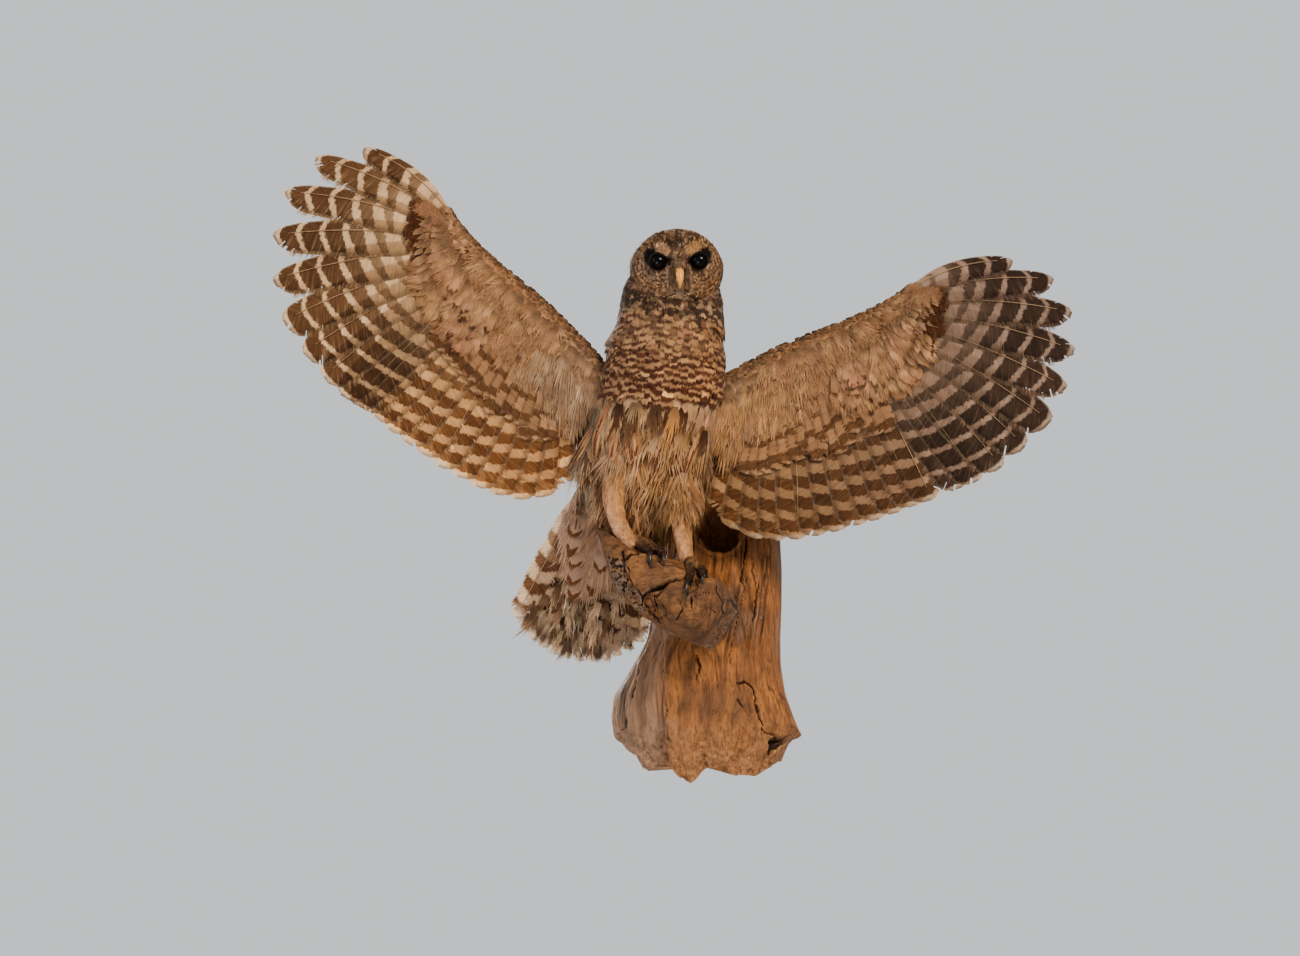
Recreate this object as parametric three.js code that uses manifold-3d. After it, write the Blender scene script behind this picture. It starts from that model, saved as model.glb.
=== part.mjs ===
// A mounted barred owl with raised, spread wings, gripping a driftwood burl on a driftwood
// slab that hangs flat on a wall. Millimetres. +Z is up, the wall is the plane y = 0 and the
// owl faces -Y. The origin is on the slab's flat back, where it bears on the wall.
// The bird is built in its own frame: x to its left, y to its back, z towards its head, with
// the origin midway between the shoulders. That frame is turned, leaned and banked as a whole.

import * as THREE from "three";
import Module from "manifold-3d";

const wasm = await Module();
wasm.setup();
const { Manifold, Mesh: SolidMesh } = wasm;

// ---------------------------------------------------------------- driving dimensions

const GAP = 0.3; // clearance between nodes that touch
const PLUMAGE = { colour: "#8a6a4c", roughness: 0.9 };
const PALE_PLUMAGE = { colour: "#c29a68", roughness: 0.9 };

const BIRD = {
  shoulders: new THREE.Vector3(-14.8, -220, 263.8), // midpoint of the shoulders
  turn: 12.6, // degrees that the bird faces to its left of straight out
  lean: 16.2, // degrees that it leans out from the wall
  bank: 9.3, // degrees that it banks to its left
};

// Torso levels from the neck down: height, centre (x, y), half width, front and back reach.
const TORSO = {
  top: 18,
  sides: 24,
  levels: [
    { z: 34, x: 3, y: 0, w: 66, front: 52, back: 46 },
    { z: 12, x: 4, y: 0, w: 75, front: 60, back: 52 },
    { z: -20, x: 6, y: 0, w: 77, front: 64, back: 56 },
    { z: -58, x: 5, y: 2, w: 76, front: 64, back: 56 },
    { z: -96, x: 2, y: 5, w: 78, front: 60, back: 52 },
    { z: -128, x: -2, y: 10, w: 84, front: 52, back: 44 },
    { z: -156, x: -4, y: 16, w: 75, front: 44, back: 37 },
    { z: -182, x: 0, y: 22, w: 62, front: 33, back: 30 },
    { z: -206, x: 4, y: 27, w: 46, front: 22, back: 22 },
    { z: -224, x: 4, y: 31, w: 27, front: 11, back: 13 },
    { z: -231, x: 4, y: 33, w: 11, front: 5, back: 6 },
  ],
};

// Loose flank and vent feathers: tiers of soft locks that hang clear of the torso's outline.
// Each tier hangs from a height, over a range of turns round the body (90 is its back).
const FLANK_LOCKS = [
  { z: -104, from: 196, to: 236, count: 4, length: 52, width: 11, flare: 0.3 },
  { z: -130, from: 192, to: 232, count: 4, length: 50, width: 11, flare: 0.3 },
  { z: -156, from: 196, to: 226, count: 3, length: 44, width: 10, flare: 0.22 },
  { z: -118, from: 316, to: 346, count: 3, length: 46, width: 11, flare: 0.16 },
  { z: -150, from: 322, to: 350, count: 3, length: 44, width: 10, flare: 0.12 },
  { z: -192, from: 248, to: 292, count: 4, length: 40, width: 9, flare: 0.04 },
];

const NECK = {
  levels: [
    { z: 84, x: 1, y: 2, w: 48, front: 26, back: 42 },
    { z: 70, x: 1.5, y: 2, w: 61.5, front: 38, back: 46 },
    { z: 52, x: 3.5, y: 0, w: 67.5, front: 48, back: 47 },
    { z: 34, x: 4, y: 0, w: 70, front: 53, back: 48 },
    { z: 12, x: 4, y: 0, w: 75, front: 60, back: 52 },
  ],
};

const HEAD = {
  centre: new THREE.Vector3(0, 2, 105),
  roll: -10.5, // degrees: the head is held level while the body banks
  yaw: 3.5,
  halfWidth: 57,
  crown: 48,
  chin: 54,
  face: 47, // reach of the face in front of the head's centre
  nape: 50,
  faceColumns: 26, // round the front half of the head
  napeColumns: 10,
  rows: 20,
};

const DISC = { x: 27, z: 1, radiusX: 26, radiusZ: 34, depth: 6.2, rim: 2.2, rimWidth: 7.5 };
const EYE = { x: 24.5, y: -33, z: 6.5, radius: 11, socket: 11.3, segments: 14 };
// The lids wrap the eyeball as a cup with a rolled edge: radius and reach in front of the eye.
const LID_CUP = [
  [12.4, -5],
  [12.9, 2],
  [12.2, 5],
  [11, 6.8],
  [10, 7],
];
const BILL = {
  top: 2,
  length: 29,
  width: 11,
  depth: 12,
  reach: 13,
  sides: 10,
  nostril: [4.7, -50.6, -6.4],
};

// The wing's own plane: s runs out along the leading edge, t back across the wing and
// n towards its under side. The sweep bends the wing forwards as a cylinder would.
const WING = {
  root: new THREE.Vector3(88, 8, 0),
  raise: 32.6, // degrees above square to the body
  sweepRadius: 390,
  camber: 9,
  chord: 230,
  layerStep: 1.25, // distance between overlapping vanes
  vaneThickness: 0.8,
};

// Flesh of the wing: how far back it reaches and its half thickness, out along s.
const ARM_STATIONS = [
  { s: -52, lead: 8, back: 76, half: 15 },
  { s: -18, lead: 3, back: 84, half: 13 },
  { s: 20, lead: 0, back: 88, half: 11 },
  { s: 58, lead: -2, back: 86, half: 9.5 },
  { s: 96, lead: -1, back: 78, half: 8.5 },
  { s: 132, lead: 1, back: 68, half: 7.5 },
  { s: 167, lead: 2, back: 54, half: 6.5 },
  { s: 198, lead: 1, back: 36, half: 5 },
  { s: 226, lead: -3, back: 14, half: 3 },
];

const PRIMARIES = {
  count: 10,
  base: { s0: 146, s1: 204, t0: 14, t1: 4 },
  reach: [225, 229, 232, 233, 235, 227, 215, 199, 173, 128],
  width: [42, 42, 42, 41, 40, 37, 34, 31, 28, 24],
  emarginated: 6, // from this primary outwards the vane narrows to a finger
};
const SECONDARIES = {
  count: 12,
  base: { s0: 137, s1: 8, t0: 18, t1: 46 },
  angle: { outer: 86, sweep: 43, power: 1.3 },
  reach: 218,
  width: 44,
};
// How the primaries fan out. The bird's right wing is opened a little wider at the hand.
const FAN = {
  left: { inner: 79, sweep: 74, power: 1.41 },
  right: { inner: 86, sweep: 84.5, power: 1.6 },
};
// Greater coverts of the arm and the hand: each pair runs from the wrist to the body or to the
// wing's tip.
const COVERTS = {
  arm: { count: 8, s: [136, 10], t: [30, 54], reach: [86, 76], width: [36, 36], lift: [4.4, 4.8] },
  hand: { count: 6, s: [147, 202], t: [17, 7], reach: [92, 58], width: [34, 22], lift: [4.6, 3.6] },
};
const HAND_CUT = { s: 141.5, t: 15, angle: 85.6 };

const TAIL = {
  count: 12,
  root: new THREE.Vector3(-38, 34, -142),
  halfRoot: 18,
  lean: -2.5,
  spread: 16.5,
  reach: 237,
  rounding: 30,
  width: 36,
  layer: 1.3,
  sag: 16,
  under: { count: 7, y: -13, slope: 0.04, reach: 112 },
  over: { count: 6, y: 12, slope: -0.01, reach: 96 },
  // The rump, which holds the roots.
  rump: [
    { z: -150, x: -34, y: 28, w: 36, front: 24, back: 18 },
    { z: -185, x: -38, y: 33, w: 46, front: 22, back: 16 },
    { z: -208, x: -39, y: 36, w: 50, front: 14, back: 11 },
    { z: -232, x: -39, y: 40, w: 52, front: 5, back: 4 },
  ],
};

// Each leg's path in the bird's frame with its radius, from inside the belly to the sole.
const LEGS = {
  right: [
    { x: -24, y: -8, z: -112, r: 24 },
    { x: -29, y: -24, z: -145, r: 19 },
    { x: -30, y: -32, z: -180, r: 13.5 },
    { x: -19, y: -37, z: -208, r: 12 },
    { x: 0, y: -40, z: -229, r: 10.5 },
  ],
  left: [
    { x: 36, y: -4, z: -130, r: 26 },
    { x: 46, y: -18, z: -162, r: 20 },
    { x: 53, y: -28, z: -188, r: 14 },
    { x: 60, y: -34, z: -213, r: 12 },
    { x: 67, y: -38, z: -235, r: 10.5 },
  ],
};

// Toes run over the burl: each station is a place along the burl (x) and a turn round it from
// its top, positive to the front. The claw goes on from the last station.
const TOES = {
  radius: [8.5, 7.6, 6.6, 5.2],
  right: [
    { x: [-56, -46, -35, -29], turn: [0.05, 0.35, 0.6, 0.86], claw: [-26, 1.36] },
    { x: [-52, -38, -24, -14], turn: [0, 0.18, 0.42, 0.72], claw: [-10, 1.2] },
    { x: [-58, -62, -66, -68], turn: [-0.1, -0.5, -0.9, -1.2], claw: [-69, -1.75] },
    { x: [-54, -47, -41, -37], turn: [-0.1, -0.45, -0.85, -1.15], claw: [-35, -1.65] },
  ],
  left: [
    { x: [8, 13, 17, 18], turn: [0.05, 0.4, 0.85, 1.15], claw: [15, 1.7] },
    { x: [10, 21, 29, 33], turn: [0, 0.25, 0.6, 0.9], claw: [34, 1.35] },
    { x: [4, -2, -8, -12], turn: [-0.1, -0.35, -0.6, -0.8], claw: [-15, -1.2] },
    { x: [10, 16, 20, 22], turn: [-0.1, -0.35, -0.6, -0.78], claw: [24, -1.15] },
  ],
};
const CLAW_RADIUS = [4.2, 3.9, 3.3, 2.4, 1.2, 0.3];

// The burl: upright sections along x, each with its centre (y, z), half depth and half height.
const BURL = {
  sides: 24,
  sections: [
    { x: -99, y: -196, z: 57, d: 4, h: 4 },
    { x: -90, y: -195, z: 41, d: 14, h: 15 },
    { x: -77, y: -193, z: 15, d: 27, h: 32 },
    { x: -56, y: -191, z: -3, d: 36, h: 39 },
    { x: -31, y: -186, z: -15, d: 43, h: 44 },
    { x: -4, y: -172, z: -29, d: 58, h: 46 },
    { x: 24, y: -160, z: -46, d: 68, h: 44 },
    { x: 42, y: -158, z: -41, d: 66, h: 35 },
    { x: 56, y: -156, z: -36, d: 56, h: 20 },
  ],
};

// The slab: level sections from the foot up, each with its left and right edge and its depth.
const SLAB = {
  frontPoints: 22,
  levels: [
    { z: -214, left: -46, right: 20, depth: 44 },
    { z: -205, left: -78, right: 62, depth: 66 },
    { z: -190, left: -103, right: 86, depth: 80 },
    { z: -165, left: -117, right: 101, depth: 90 },
    { z: -140, left: -119, right: 103, depth: 93 },
    { z: -110, left: -113, right: 91, depth: 92 },
    { z: -75, left: -97, right: 86, depth: 91 },
    { z: -40, left: -76, right: 86, depth: 91 },
    { z: 0, left: -66, right: 88, depth: 91 },
    { z: 45, left: -60, right: 89, depth: 89 },
    { z: 95, left: -54, right: 87, depth: 84 },
    { z: 145, left: -48, right: 82, depth: 78 },
    { z: 182, left: -42, right: 76, depth: 71 },
    { z: 196, left: -30, right: 64, depth: 58 },
  ],
  hole: { x: 26, y: -86, z: 79, rx: 26, ry: 44, rz: 28 },
};

// ---------------------------------------------------------------- small helpers

const degrees = THREE.MathUtils.degToRad;
const lerp = THREE.MathUtils.lerp;

// Turns rings of points, all of one length, into a closed solid. Each end is a fan of faces.
function loft(rings) {
  const count = rings[0].length;
  const position = new Float32Array(rings.flat().flatMap((p) => [p.x, p.y, p.z]));
  const index = [];
  for (let i = 0; i + 1 < rings.length; i++) {
    for (let j = 0; j < count; j++) {
      const k = (j + 1) % count;
      const [a, b, c, d] = [i * count + j, i * count + k, (i + 1) * count + k, (i + 1) * count + j];
      index.push(a, b, c, a, c, d);
    }
  }
  const end = (rings.length - 1) * count;
  for (let j = 1; j + 1 < count; j++) {
    index.push(0, j + 1, j);
    index.push(end, end + j, end + j + 1);
  }
  const made = () =>
    new Manifold(
      new SolidMesh({ numProp: 3, vertProperties: position, triVerts: new Uint32Array(index) }),
    );
  const solid = made();
  if (solid.volume() > 0) return solid;
  for (let i = 0; i < index.length; i += 3) [index[i], index[i + 1]] = [index[i + 1], index[i]];
  return made();
}

// A level ring: half width w, front (towards -y) and back reach, squarer as power falls.
function levelRing({ x, y, z, w, front, back }, sides, grow = 0, power = 1) {
  return Array.from({ length: sides }, (_, i) => {
    const angle = (i / sides) * 2 * Math.PI;
    const c = Math.sign(Math.cos(angle)) * Math.abs(Math.cos(angle)) ** power;
    const s = Math.sign(Math.sin(angle)) * Math.abs(Math.sin(angle)) ** power;
    return new THREE.Vector3(
      x + (w + grow) * c,
      y + ((s < 0 ? front : back) + grow) * s,
      z,
    );
  });
}

// A body of level rings listed from the top down, grown on every side.
function levelLoft(levels, sides, grow = 0) {
  return loft(
    levels.map((level, i) => {
      const rise = i === 0 ? grow : i === levels.length - 1 ? -grow : 0;
      return levelRing({ ...level, z: level.z + rise }, sides, grow);
    }),
  );
}

// A round tube along stations {x, y, z, r}, made wider or flatter by the two scales.
function tube(stations, sides = 12, grow = 0) {
  const centres = stations.map((p) => new THREE.Vector3(p.x, p.y, p.z));
  const rings = stations.map((station, i) => {
    const before = centres[Math.max(i - 1, 0)];
    const after = centres[Math.min(i + 1, centres.length - 1)];
    const along = after.clone().sub(before).normalize();
    const across = new THREE.Vector3(1, 0, 0).cross(along).normalize();
    const side = along.clone().cross(across);
    return Array.from({ length: sides }, (_, j) => {
      const angle = (j / sides) * 2 * Math.PI;
      return centres[i]
        .clone()
        .addScaledVector(side, Math.cos(angle) * (station.r + grow))
        .addScaledVector(across, Math.sin(angle) * (station.r + grow));
    });
  });
  return loft(rings);
}

function ellipsoid(centre, rx, ry, rz, columns = 20, rows = 12) {
  const rings = [];
  for (let i = 0; i < rows; i++) {
    const polar = ((i + 0.5) / rows) * Math.PI;
    rings.push(
      Array.from({ length: columns }, (_, j) => {
        const angle = (j / columns) * 2 * Math.PI;
        return new THREE.Vector3(
          centre.x + rx * Math.sin(polar) * Math.cos(angle),
          centre.y + ry * Math.sin(polar) * Math.sin(angle),
          centre.z + rz * Math.cos(polar),
        );
      }),
    );
  }
  return loft(rings);
}

// The largest closed surface of a solid: drops scraps and fills a hollow sealed by fusing.
function largest(solid) {
  const pieces = solid.decompose().sort((a, b) => b.volume() - a.volume());
  return pieces[0];
}

const union = (solids) => Manifold.union(solids);

// ---------------------------------------------------------------- vanes

// A flat vane that follows points, with a sideways vector and half widths at each of them.
function vane(spine, thickness) {
  return loft(
    spine.map(({ at, side, up, outer, inner }) => {
      const half = thickness / 2;
      const corner = (across, lift) =>
        at.clone().addScaledVector(side, across).addScaledVector(up, lift);
      return [
        corner(-outer, -half),
        corner(inner, -half),
        corner(inner, half),
        corner(-outer, half),
      ];
    }),
  );
}

// Share of a vane's full width along its length: a quill, then the vane, then a round tip.
const VANE_SHAPE = [
  [0, 0.16],
  [0.32, 0.9],
  [0.66, 1],
  [0.91, 0.82],
  [1, 0.34],
];
// The same for an outer primary, whose vane narrows half way to a finger.
const FINGER_SHAPE = [
  [0, 0.16],
  [0.32, 1],
  [0.56, 1.1],
  [0.78, 0.8],
  [0.93, 0.68],
  [1, 0.3],
];
const SHORT_SHAPE = [
  [0, 0.6],
  [0.75, 1],
  [1, 0.4],
];

// ---------------------------------------------------------------- wing surface

const RAISE = degrees(WING.raise);
const OUTWARD = new THREE.Vector3(Math.cos(RAISE), 0, Math.sin(RAISE));
const REARWARD = new THREE.Vector3(Math.sin(RAISE), 0, -Math.cos(RAISE));

// How far the wing's middle surface stands forward of its root plane.
function sweepAt(s, t) {
  const sweep = s > 0 ? (s * s) / (2 * WING.sweepRadius) : 0;
  const share = THREE.MathUtils.clamp(t / WING.chord, 0, 1);
  return sweep - WING.camber * 4 * share * (1 - share);
}

function wingPoint(s, t, n, mirror) {
  const p = WING.root.clone().addScaledVector(OUTWARD, s).addScaledVector(REARWARD, t);
  p.y -= sweepAt(s, t) + n;
  p.x *= mirror;
  return p;
}

// One wing feather as a vane in the wing's surface. Its trailing side is rolled towards the
// under side, so that it lies over the leading side of the next feather inwards.
function wingVane({ s, t, angle, reach, bow, width, lead, shape, lift, step, mirror }) {
  const along = [Math.cos(degrees(angle)), Math.sin(degrees(angle))];
  const acrossLead = [along[1], -along[0]];
  const pointAt = (x, across, n) => {
    const out = reach * x;
    const side = bow * 4 * x * (1 - x) - across;
    return wingPoint(
      s + along[0] * out + acrossLead[0] * side,
      t + along[1] * out + acrossLead[1] * side,
      n,
      mirror,
    );
  };
  const spine = shape.map(([x, share]) => {
    const full = width * share;
    const outer = full * lead;
    const inner = full * (1 - lead);
    const at = pointAt(x, 0, lift);
    // Crossways direction on the surface, rolled by the step per feather spacing.
    const roll = step / lerp(10, 21, x);
    const side = pointAt(x, 1, lift + roll).sub(at).normalize();
    const forward = pointAt(Math.min(x + 0.02, 1.02), 0, lift).sub(at).normalize();
    const up = forward.cross(side).normalize();
    return { at, side, up, outer, inner };
  });
  return vane(spine, WING.vaneThickness);
}

const primaryAngle = (q, { inner, sweep, power }) => inner - sweep * q ** power;

function primaryVanes(mirror, fan) {
  const { count, base, reach, width, emarginated } = PRIMARIES;
  return Array.from({ length: count }, (_, i) => {
    const q = i / (count - 1);
    return wingVane({
      s: lerp(base.s0, base.s1, q),
      t: lerp(base.t0, base.t1, q),
      angle: primaryAngle(q, fan),
      reach: reach[i],
      bow: lerp(4, 13, q),
      width: width[i],
      lead: lerp(0.36, 0.26, q),
      shape: i + 1 >= emarginated ? FINGER_SHAPE : VANE_SHAPE,
      lift: 0,
      step: WING.layerStep,
      mirror,
    });
  });
}

const secondaryAngle = (q) =>
  SECONDARIES.angle.outer + SECONDARIES.angle.sweep * q ** SECONDARIES.angle.power;
const secondaryReach = (q) => SECONDARIES.reach - 38 * q - 43 * q ** 8;

function secondaryVanes(mirror) {
  const { count, base, width } = SECONDARIES;
  return Array.from({ length: count }, (_, i) => {
    const q = i / (count - 1);
    return wingVane({
      s: lerp(base.s0, base.s1, q),
      t: lerp(base.t0, base.t1, q),
      angle: secondaryAngle(q),
      reach: secondaryReach(q),
      bow: 4,
      width,
      lead: 0.4,
      shape: VANE_SHAPE,
      lift: 0,
      step: WING.layerStep,
      mirror,
    });
  });
}

// Greater coverts, under (face 1) or over (face -1) the roots of the flight feathers.
function covertVanes(mirror, fan, face) {
  const { arm, hand } = COVERTS;
  const shared = { bow: 2, lead: 0.45, shape: SHORT_SHAPE, step: WING.layerStep, mirror };
  const tier = ({ count, s, t, reach, width, lift }, angleAt) =>
    Array.from({ length: count }, (_, i) => {
      const q = (i + 0.4) / count;
      return wingVane({
        ...shared,
        s: lerp(...s, q),
        t: lerp(...t, q),
        angle: angleAt(q),
        reach: lerp(...reach, q),
        width: lerp(...width, q),
        lift: face * lerp(...lift, q),
      });
    });
  return [...tier(arm, secondaryAngle), ...tier(hand, (q) => primaryAngle(q, fan))];
}

// The wing's flesh with its short coverts: blunt at the leading edge, thin at the back.
function wingFlesh(mirror) {
  const section = [
    [0, 0],
    [0.05, 0.72],
    [0.2, 1],
    [0.5, 0.62],
    [0.8, 0.3],
    [1, 0.14],
    [1, -0.14],
    [0.8, -0.3],
    [0.5, -0.62],
    [0.2, -1],
    [0.05, -0.72],
  ];
  return loft(
    ARM_STATIONS.map(({ s, lead, back, half }) =>
      section.map(([across, height]) =>
        wingPoint(s, lerp(lead, back, across), height * half, mirror),
      ),
    ),
  );
}

// ---------------------------------------------------------------- tail

function tailVanes() {
  const { count, root, halfRoot, lean, spread, reach, rounding, width, layer, sag } = TAIL;
  return Array.from({ length: count }, (_, i) => {
    const q = (i - (count - 1) / 2) / ((count - 1) / 2);
    const angle = degrees(lean + spread * q);
    const along = new THREE.Vector3(Math.sin(angle), 0, -Math.cos(angle));
    const length = reach - rounding * q * q;
    const start = root.clone().add(new THREE.Vector3(halfRoot * q, 0, 0));
    start.y -= Math.abs(i - (count - 1) / 2) * layer;
    const lead = q > 0 ? 0.6 : 0.4; // the wider vane is the inner one
    const spine = VANE_SHAPE.map(([x, share]) => {
      const at = start.clone().addScaledVector(along, length * x);
      at.y += sag * x - 6 * q * q * x;
      return {
        at,
        side: new THREE.Vector3(Math.cos(angle), 0, Math.sin(angle)),
        up: new THREE.Vector3(0, 1, 0),
        outer: width * share * (1 - lead),
        inner: width * share * lead,
      };
    });
    return vane(spine, 0.8);
  });
}

// Soft coverts over the root of the tail, on its under side or its back.
function tailCoverts({ count, y, slope, reach }) {
  return Array.from({ length: count }, (_, i) => {
    const q = (i / (count - 1)) * 2 - 1;
    const angle = degrees(TAIL.lean + 11 * q);
    const along = new THREE.Vector3(Math.sin(angle), slope, -Math.cos(angle));
    const start = TAIL.root.clone().add(new THREE.Vector3(14 * q, y + Math.sign(y) * 2 * (i % 2), 6));
    const spine = SHORT_SHAPE.map(([x, share]) => ({
      at: start.clone().addScaledVector(along, (reach - 16 * q * q) * x),
      side: new THREE.Vector3(Math.cos(angle), 0, Math.sin(angle)),
      up: new THREE.Vector3(0, 1, 0),
      outer: 12 * share,
      inner: 12 * share,
    }));
    return vane(spine, 1);
  });
}

// ---------------------------------------------------------------- head

// The head's own frame: level, facing -y, with its origin at the head's centre.
function inHeadFrame(solid) {
  const turn = new THREE.Matrix4().makeRotationFromEuler(
    new THREE.Euler(0, degrees(HEAD.roll), degrees(HEAD.yaw), "YZX"),
  );
  turn.setPosition(HEAD.centre);
  return solid.transform(turn.elements);
}

// Depth of the facial discs and height of their raised rim at a place on the face.
function faceRelief(x, z) {
  const u = (Math.abs(x) - DISC.x) / DISC.radiusX;
  const v = (z - DISC.z) / DISC.radiusZ;
  const r = Math.hypot(u, v);
  const dish = r < 1 ? -DISC.depth * (1 - r ** 3) : 0;
  const rim = DISC.rim * Math.exp(-(((r - 1.08) * DISC.radiusX) ** 2) / DISC.rimWidth ** 2);
  return dish + rim;
}

// The face is flatter than the nape, and its sides bulge at the cheeks.
function headSolid(grow = 0) {
  const { faceColumns, napeColumns, rows, halfWidth, crown, chin, face, nape } = HEAD;
  const angles = [
    ...Array.from({ length: napeColumns }, (_, j) => (j / napeColumns) * Math.PI),
    ...Array.from({ length: faceColumns }, (_, j) => (1 + j / faceColumns) * Math.PI),
  ];
  const rings = Array.from({ length: rows }, (_, i) => {
    const polar = ((i + 0.6) / (rows + 0.2)) * Math.PI;
    const height = Math.cos(polar);
    const round = Math.sin(polar);
    return angles.map((angle) => {
      const across = Math.sin(angle);
      const x = (halfWidth + grow) * round * Math.cos(angle);
      const z = ((height > 0 ? crown : chin) + grow) * height;
      const reach = across < 0 ? (face + grow) * round ** 0.6 : (nape + grow) * round;
      const relief = across < 0 ? faceRelief(x, z) * Math.min(1, -across * 1.6) : 0;
      return new THREE.Vector3(x, reach * across - relief, z);
    });
  });
  return loft(rings);
}

function eyeball(side, radius) {
  const centre = { x: side * EYE.x, y: EYE.y, z: EYE.z };
  return ellipsoid(centre, radius, radius, radius, EYE.segments, 8);
}

// Upper and lower lid as one cup round the eyeball, open in front.
function lidCup(side) {
  return loft(
    LID_CUP.map(([radius, reach]) =>
      Array.from({ length: EYE.segments }, (_, j) => {
        const angle = (j / EYE.segments) * 2 * Math.PI;
        return new THREE.Vector3(
          side * EYE.x + radius * Math.cos(angle),
          EYE.y - reach,
          EYE.z + radius * Math.sin(angle),
        );
      }),
    ),
  );
}

// A curved, tapering bill part: from the face out and down to its hooked tip.
function billPart(top, length, width, depth, reach, grow = 0) {
  const stations = 7;
  const rings = Array.from({ length: stations }, (_, i) => {
    const q = i / (stations - 1);
    const taper = Math.sqrt(1 - q * 0.96);
    const centre = new THREE.Vector3(
      0,
      -HEAD.face + 8 - reach * Math.sin(q * Math.PI * 0.72) ** 0.8,
      top - length * q ** 1.15,
    );
    const w = (width / 2) * Math.sin(Math.PI * lerp(0.28, 0.96, q)) + grow; // widest in the middle
    const d = (depth / 2) * taper + grow;
    return Array.from({ length: BILL.sides }, (_, j) => {
      const angle = (j / BILL.sides) * 2 * Math.PI;
      return new THREE.Vector3(
        centre.x + w * Math.cos(angle),
        centre.y + d * Math.sin(angle),
        centre.z + d * 0.5 * Math.sin(angle),
      );
    });
  });
  return loft(rings);
}

const upperBill = (grow = 0) =>
  billPart(BILL.top, BILL.length, BILL.width, BILL.depth, BILL.reach, grow);
const lowerBill = (grow = 0) =>
  billPart(BILL.top - 12, BILL.length - 16, BILL.width - 2, BILL.depth - 4, BILL.reach - 4, grow);

// ---------------------------------------------------------------- wood

// A weathered, lumpy radius: a few slow waves round and along the wood.
function weathering(angle, along, size) {
  return (
    size *
    (0.5 * Math.sin(3 * angle + along * 0.05) +
      0.35 * Math.sin(5 * angle - along * 0.083 + 1.3) +
      0.3 * Math.sin(8 * angle + along * 0.037 + 2.1))
  );
}

const burlSection = (x) => {
  const list = BURL.sections;
  const i = Math.max(1, list.findIndex((section) => section.x >= x));
  const [a, b] = [list[i - 1], list[i]];
  const q = (x - a.x) / (b.x - a.x);
  const mix = (key) => lerp(a[key], b[key], q);
  return { x, y: mix("y"), z: mix("z"), d: mix("d"), h: mix("h") };
};

// A point on the burl: angle 0 is its top, and a quarter turn is its front.
function burlPoint({ x, y, z, d, h }, angle, lift) {
  const lumps = weathering(angle, x * 1.6, Math.min(3.4, d * 0.09));
  return new THREE.Vector3(
    x,
    y - (d + lumps + lift) * Math.sign(Math.sin(angle)) * Math.abs(Math.sin(angle)) ** 0.85,
    z + (h + lumps + lift) * Math.sign(Math.cos(angle)) * Math.abs(Math.cos(angle)) ** 0.85,
  );
}

function burl(lift = 0) {
  return loft(
    BURL.sections.map((section) =>
      Array.from({ length: BURL.sides }, (_, j) =>
        burlPoint(section, (j / BURL.sides) * 2 * Math.PI, lift),
      ),
    ),
  );
}

// One level of the slab: a weathered front from edge to edge, and the flat back on the wall.
function slabRing({ z, left, right, depth }, lift) {
  const middle = (left + right) / 2;
  const half = (right - left) / 2 + lift;
  const ring = [];
  for (let i = 0; i <= SLAB.frontPoints; i++) {
    const angle = (i / SLAB.frontPoints) * Math.PI;
    const c = Math.cos(angle);
    const s = Math.sin(angle);
    const lumps = weathering(angle * 2.2, z, 3.4) * s;
    ring.push(
      new THREE.Vector3(
        middle + half * Math.sign(c) * Math.abs(c) ** 0.75,
        -(depth + lumps + lift) * s ** 0.62,
        z + 3 * Math.sin(angle * 5) * (z < -180 ? 1 : 0),
      ),
    );
  }
  for (const share of [0.25, 0.5, 0.75]) {
    ring.push(new THREE.Vector3(lerp(middle - half, middle + half, share), 0, z));
  }
  return ring;
}

function slab(lift = 0) {
  const solid = loft(SLAB.levels.map((level) => slabRing(level, lift)));
  const { x, y, z, rx, ry, rz } = SLAB.hole;
  return lift > 0 ? solid : solid.subtract(ellipsoid({ x, y, z }, rx, ry, rz, 18, 10));
}

// ---------------------------------------------------------------- feet

function toeStations({ x, turn }) {
  return x.map((place, i) => {
    const r = TOES.radius[i];
    const p = burlPoint(burlSection(place), turn[i], r * 0.72);
    return { x: p.x, y: p.y, z: p.z, r };
  });
}

// A claw leaves the toe's end, arches clear of the wood and comes back down to it.
function clawStations({ x, turn, claw }) {
  const [endX, endTurn] = claw;
  return CLAW_RADIUS.map((r, i) => {
    const q = i / (CLAW_RADIUS.length - 1);
    const place = lerp(x.at(-1), endX, q);
    const lift = 3.6 * (1 - q) + 5 * Math.sin(Math.PI * q) + 0.9 * q;
    const p = burlPoint(burlSection(place), lerp(turn.at(-1) - 0.04, endTurn, q), lift);
    return { x: p.x, y: p.y, z: p.z, r };
  });
}

// ---------------------------------------------------------------- assembly

const birdGroup = new THREE.Group();
birdGroup.position.copy(BIRD.shoulders);
birdGroup.rotation.set(degrees(BIRD.lean), degrees(BIRD.bank), degrees(BIRD.turn), "ZXY");
birdGroup.updateMatrixWorld(true);
const woodGroup = new THREE.Group();
const part = new THREE.Group();
part.add(birdGroup, woodGroup);

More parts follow.
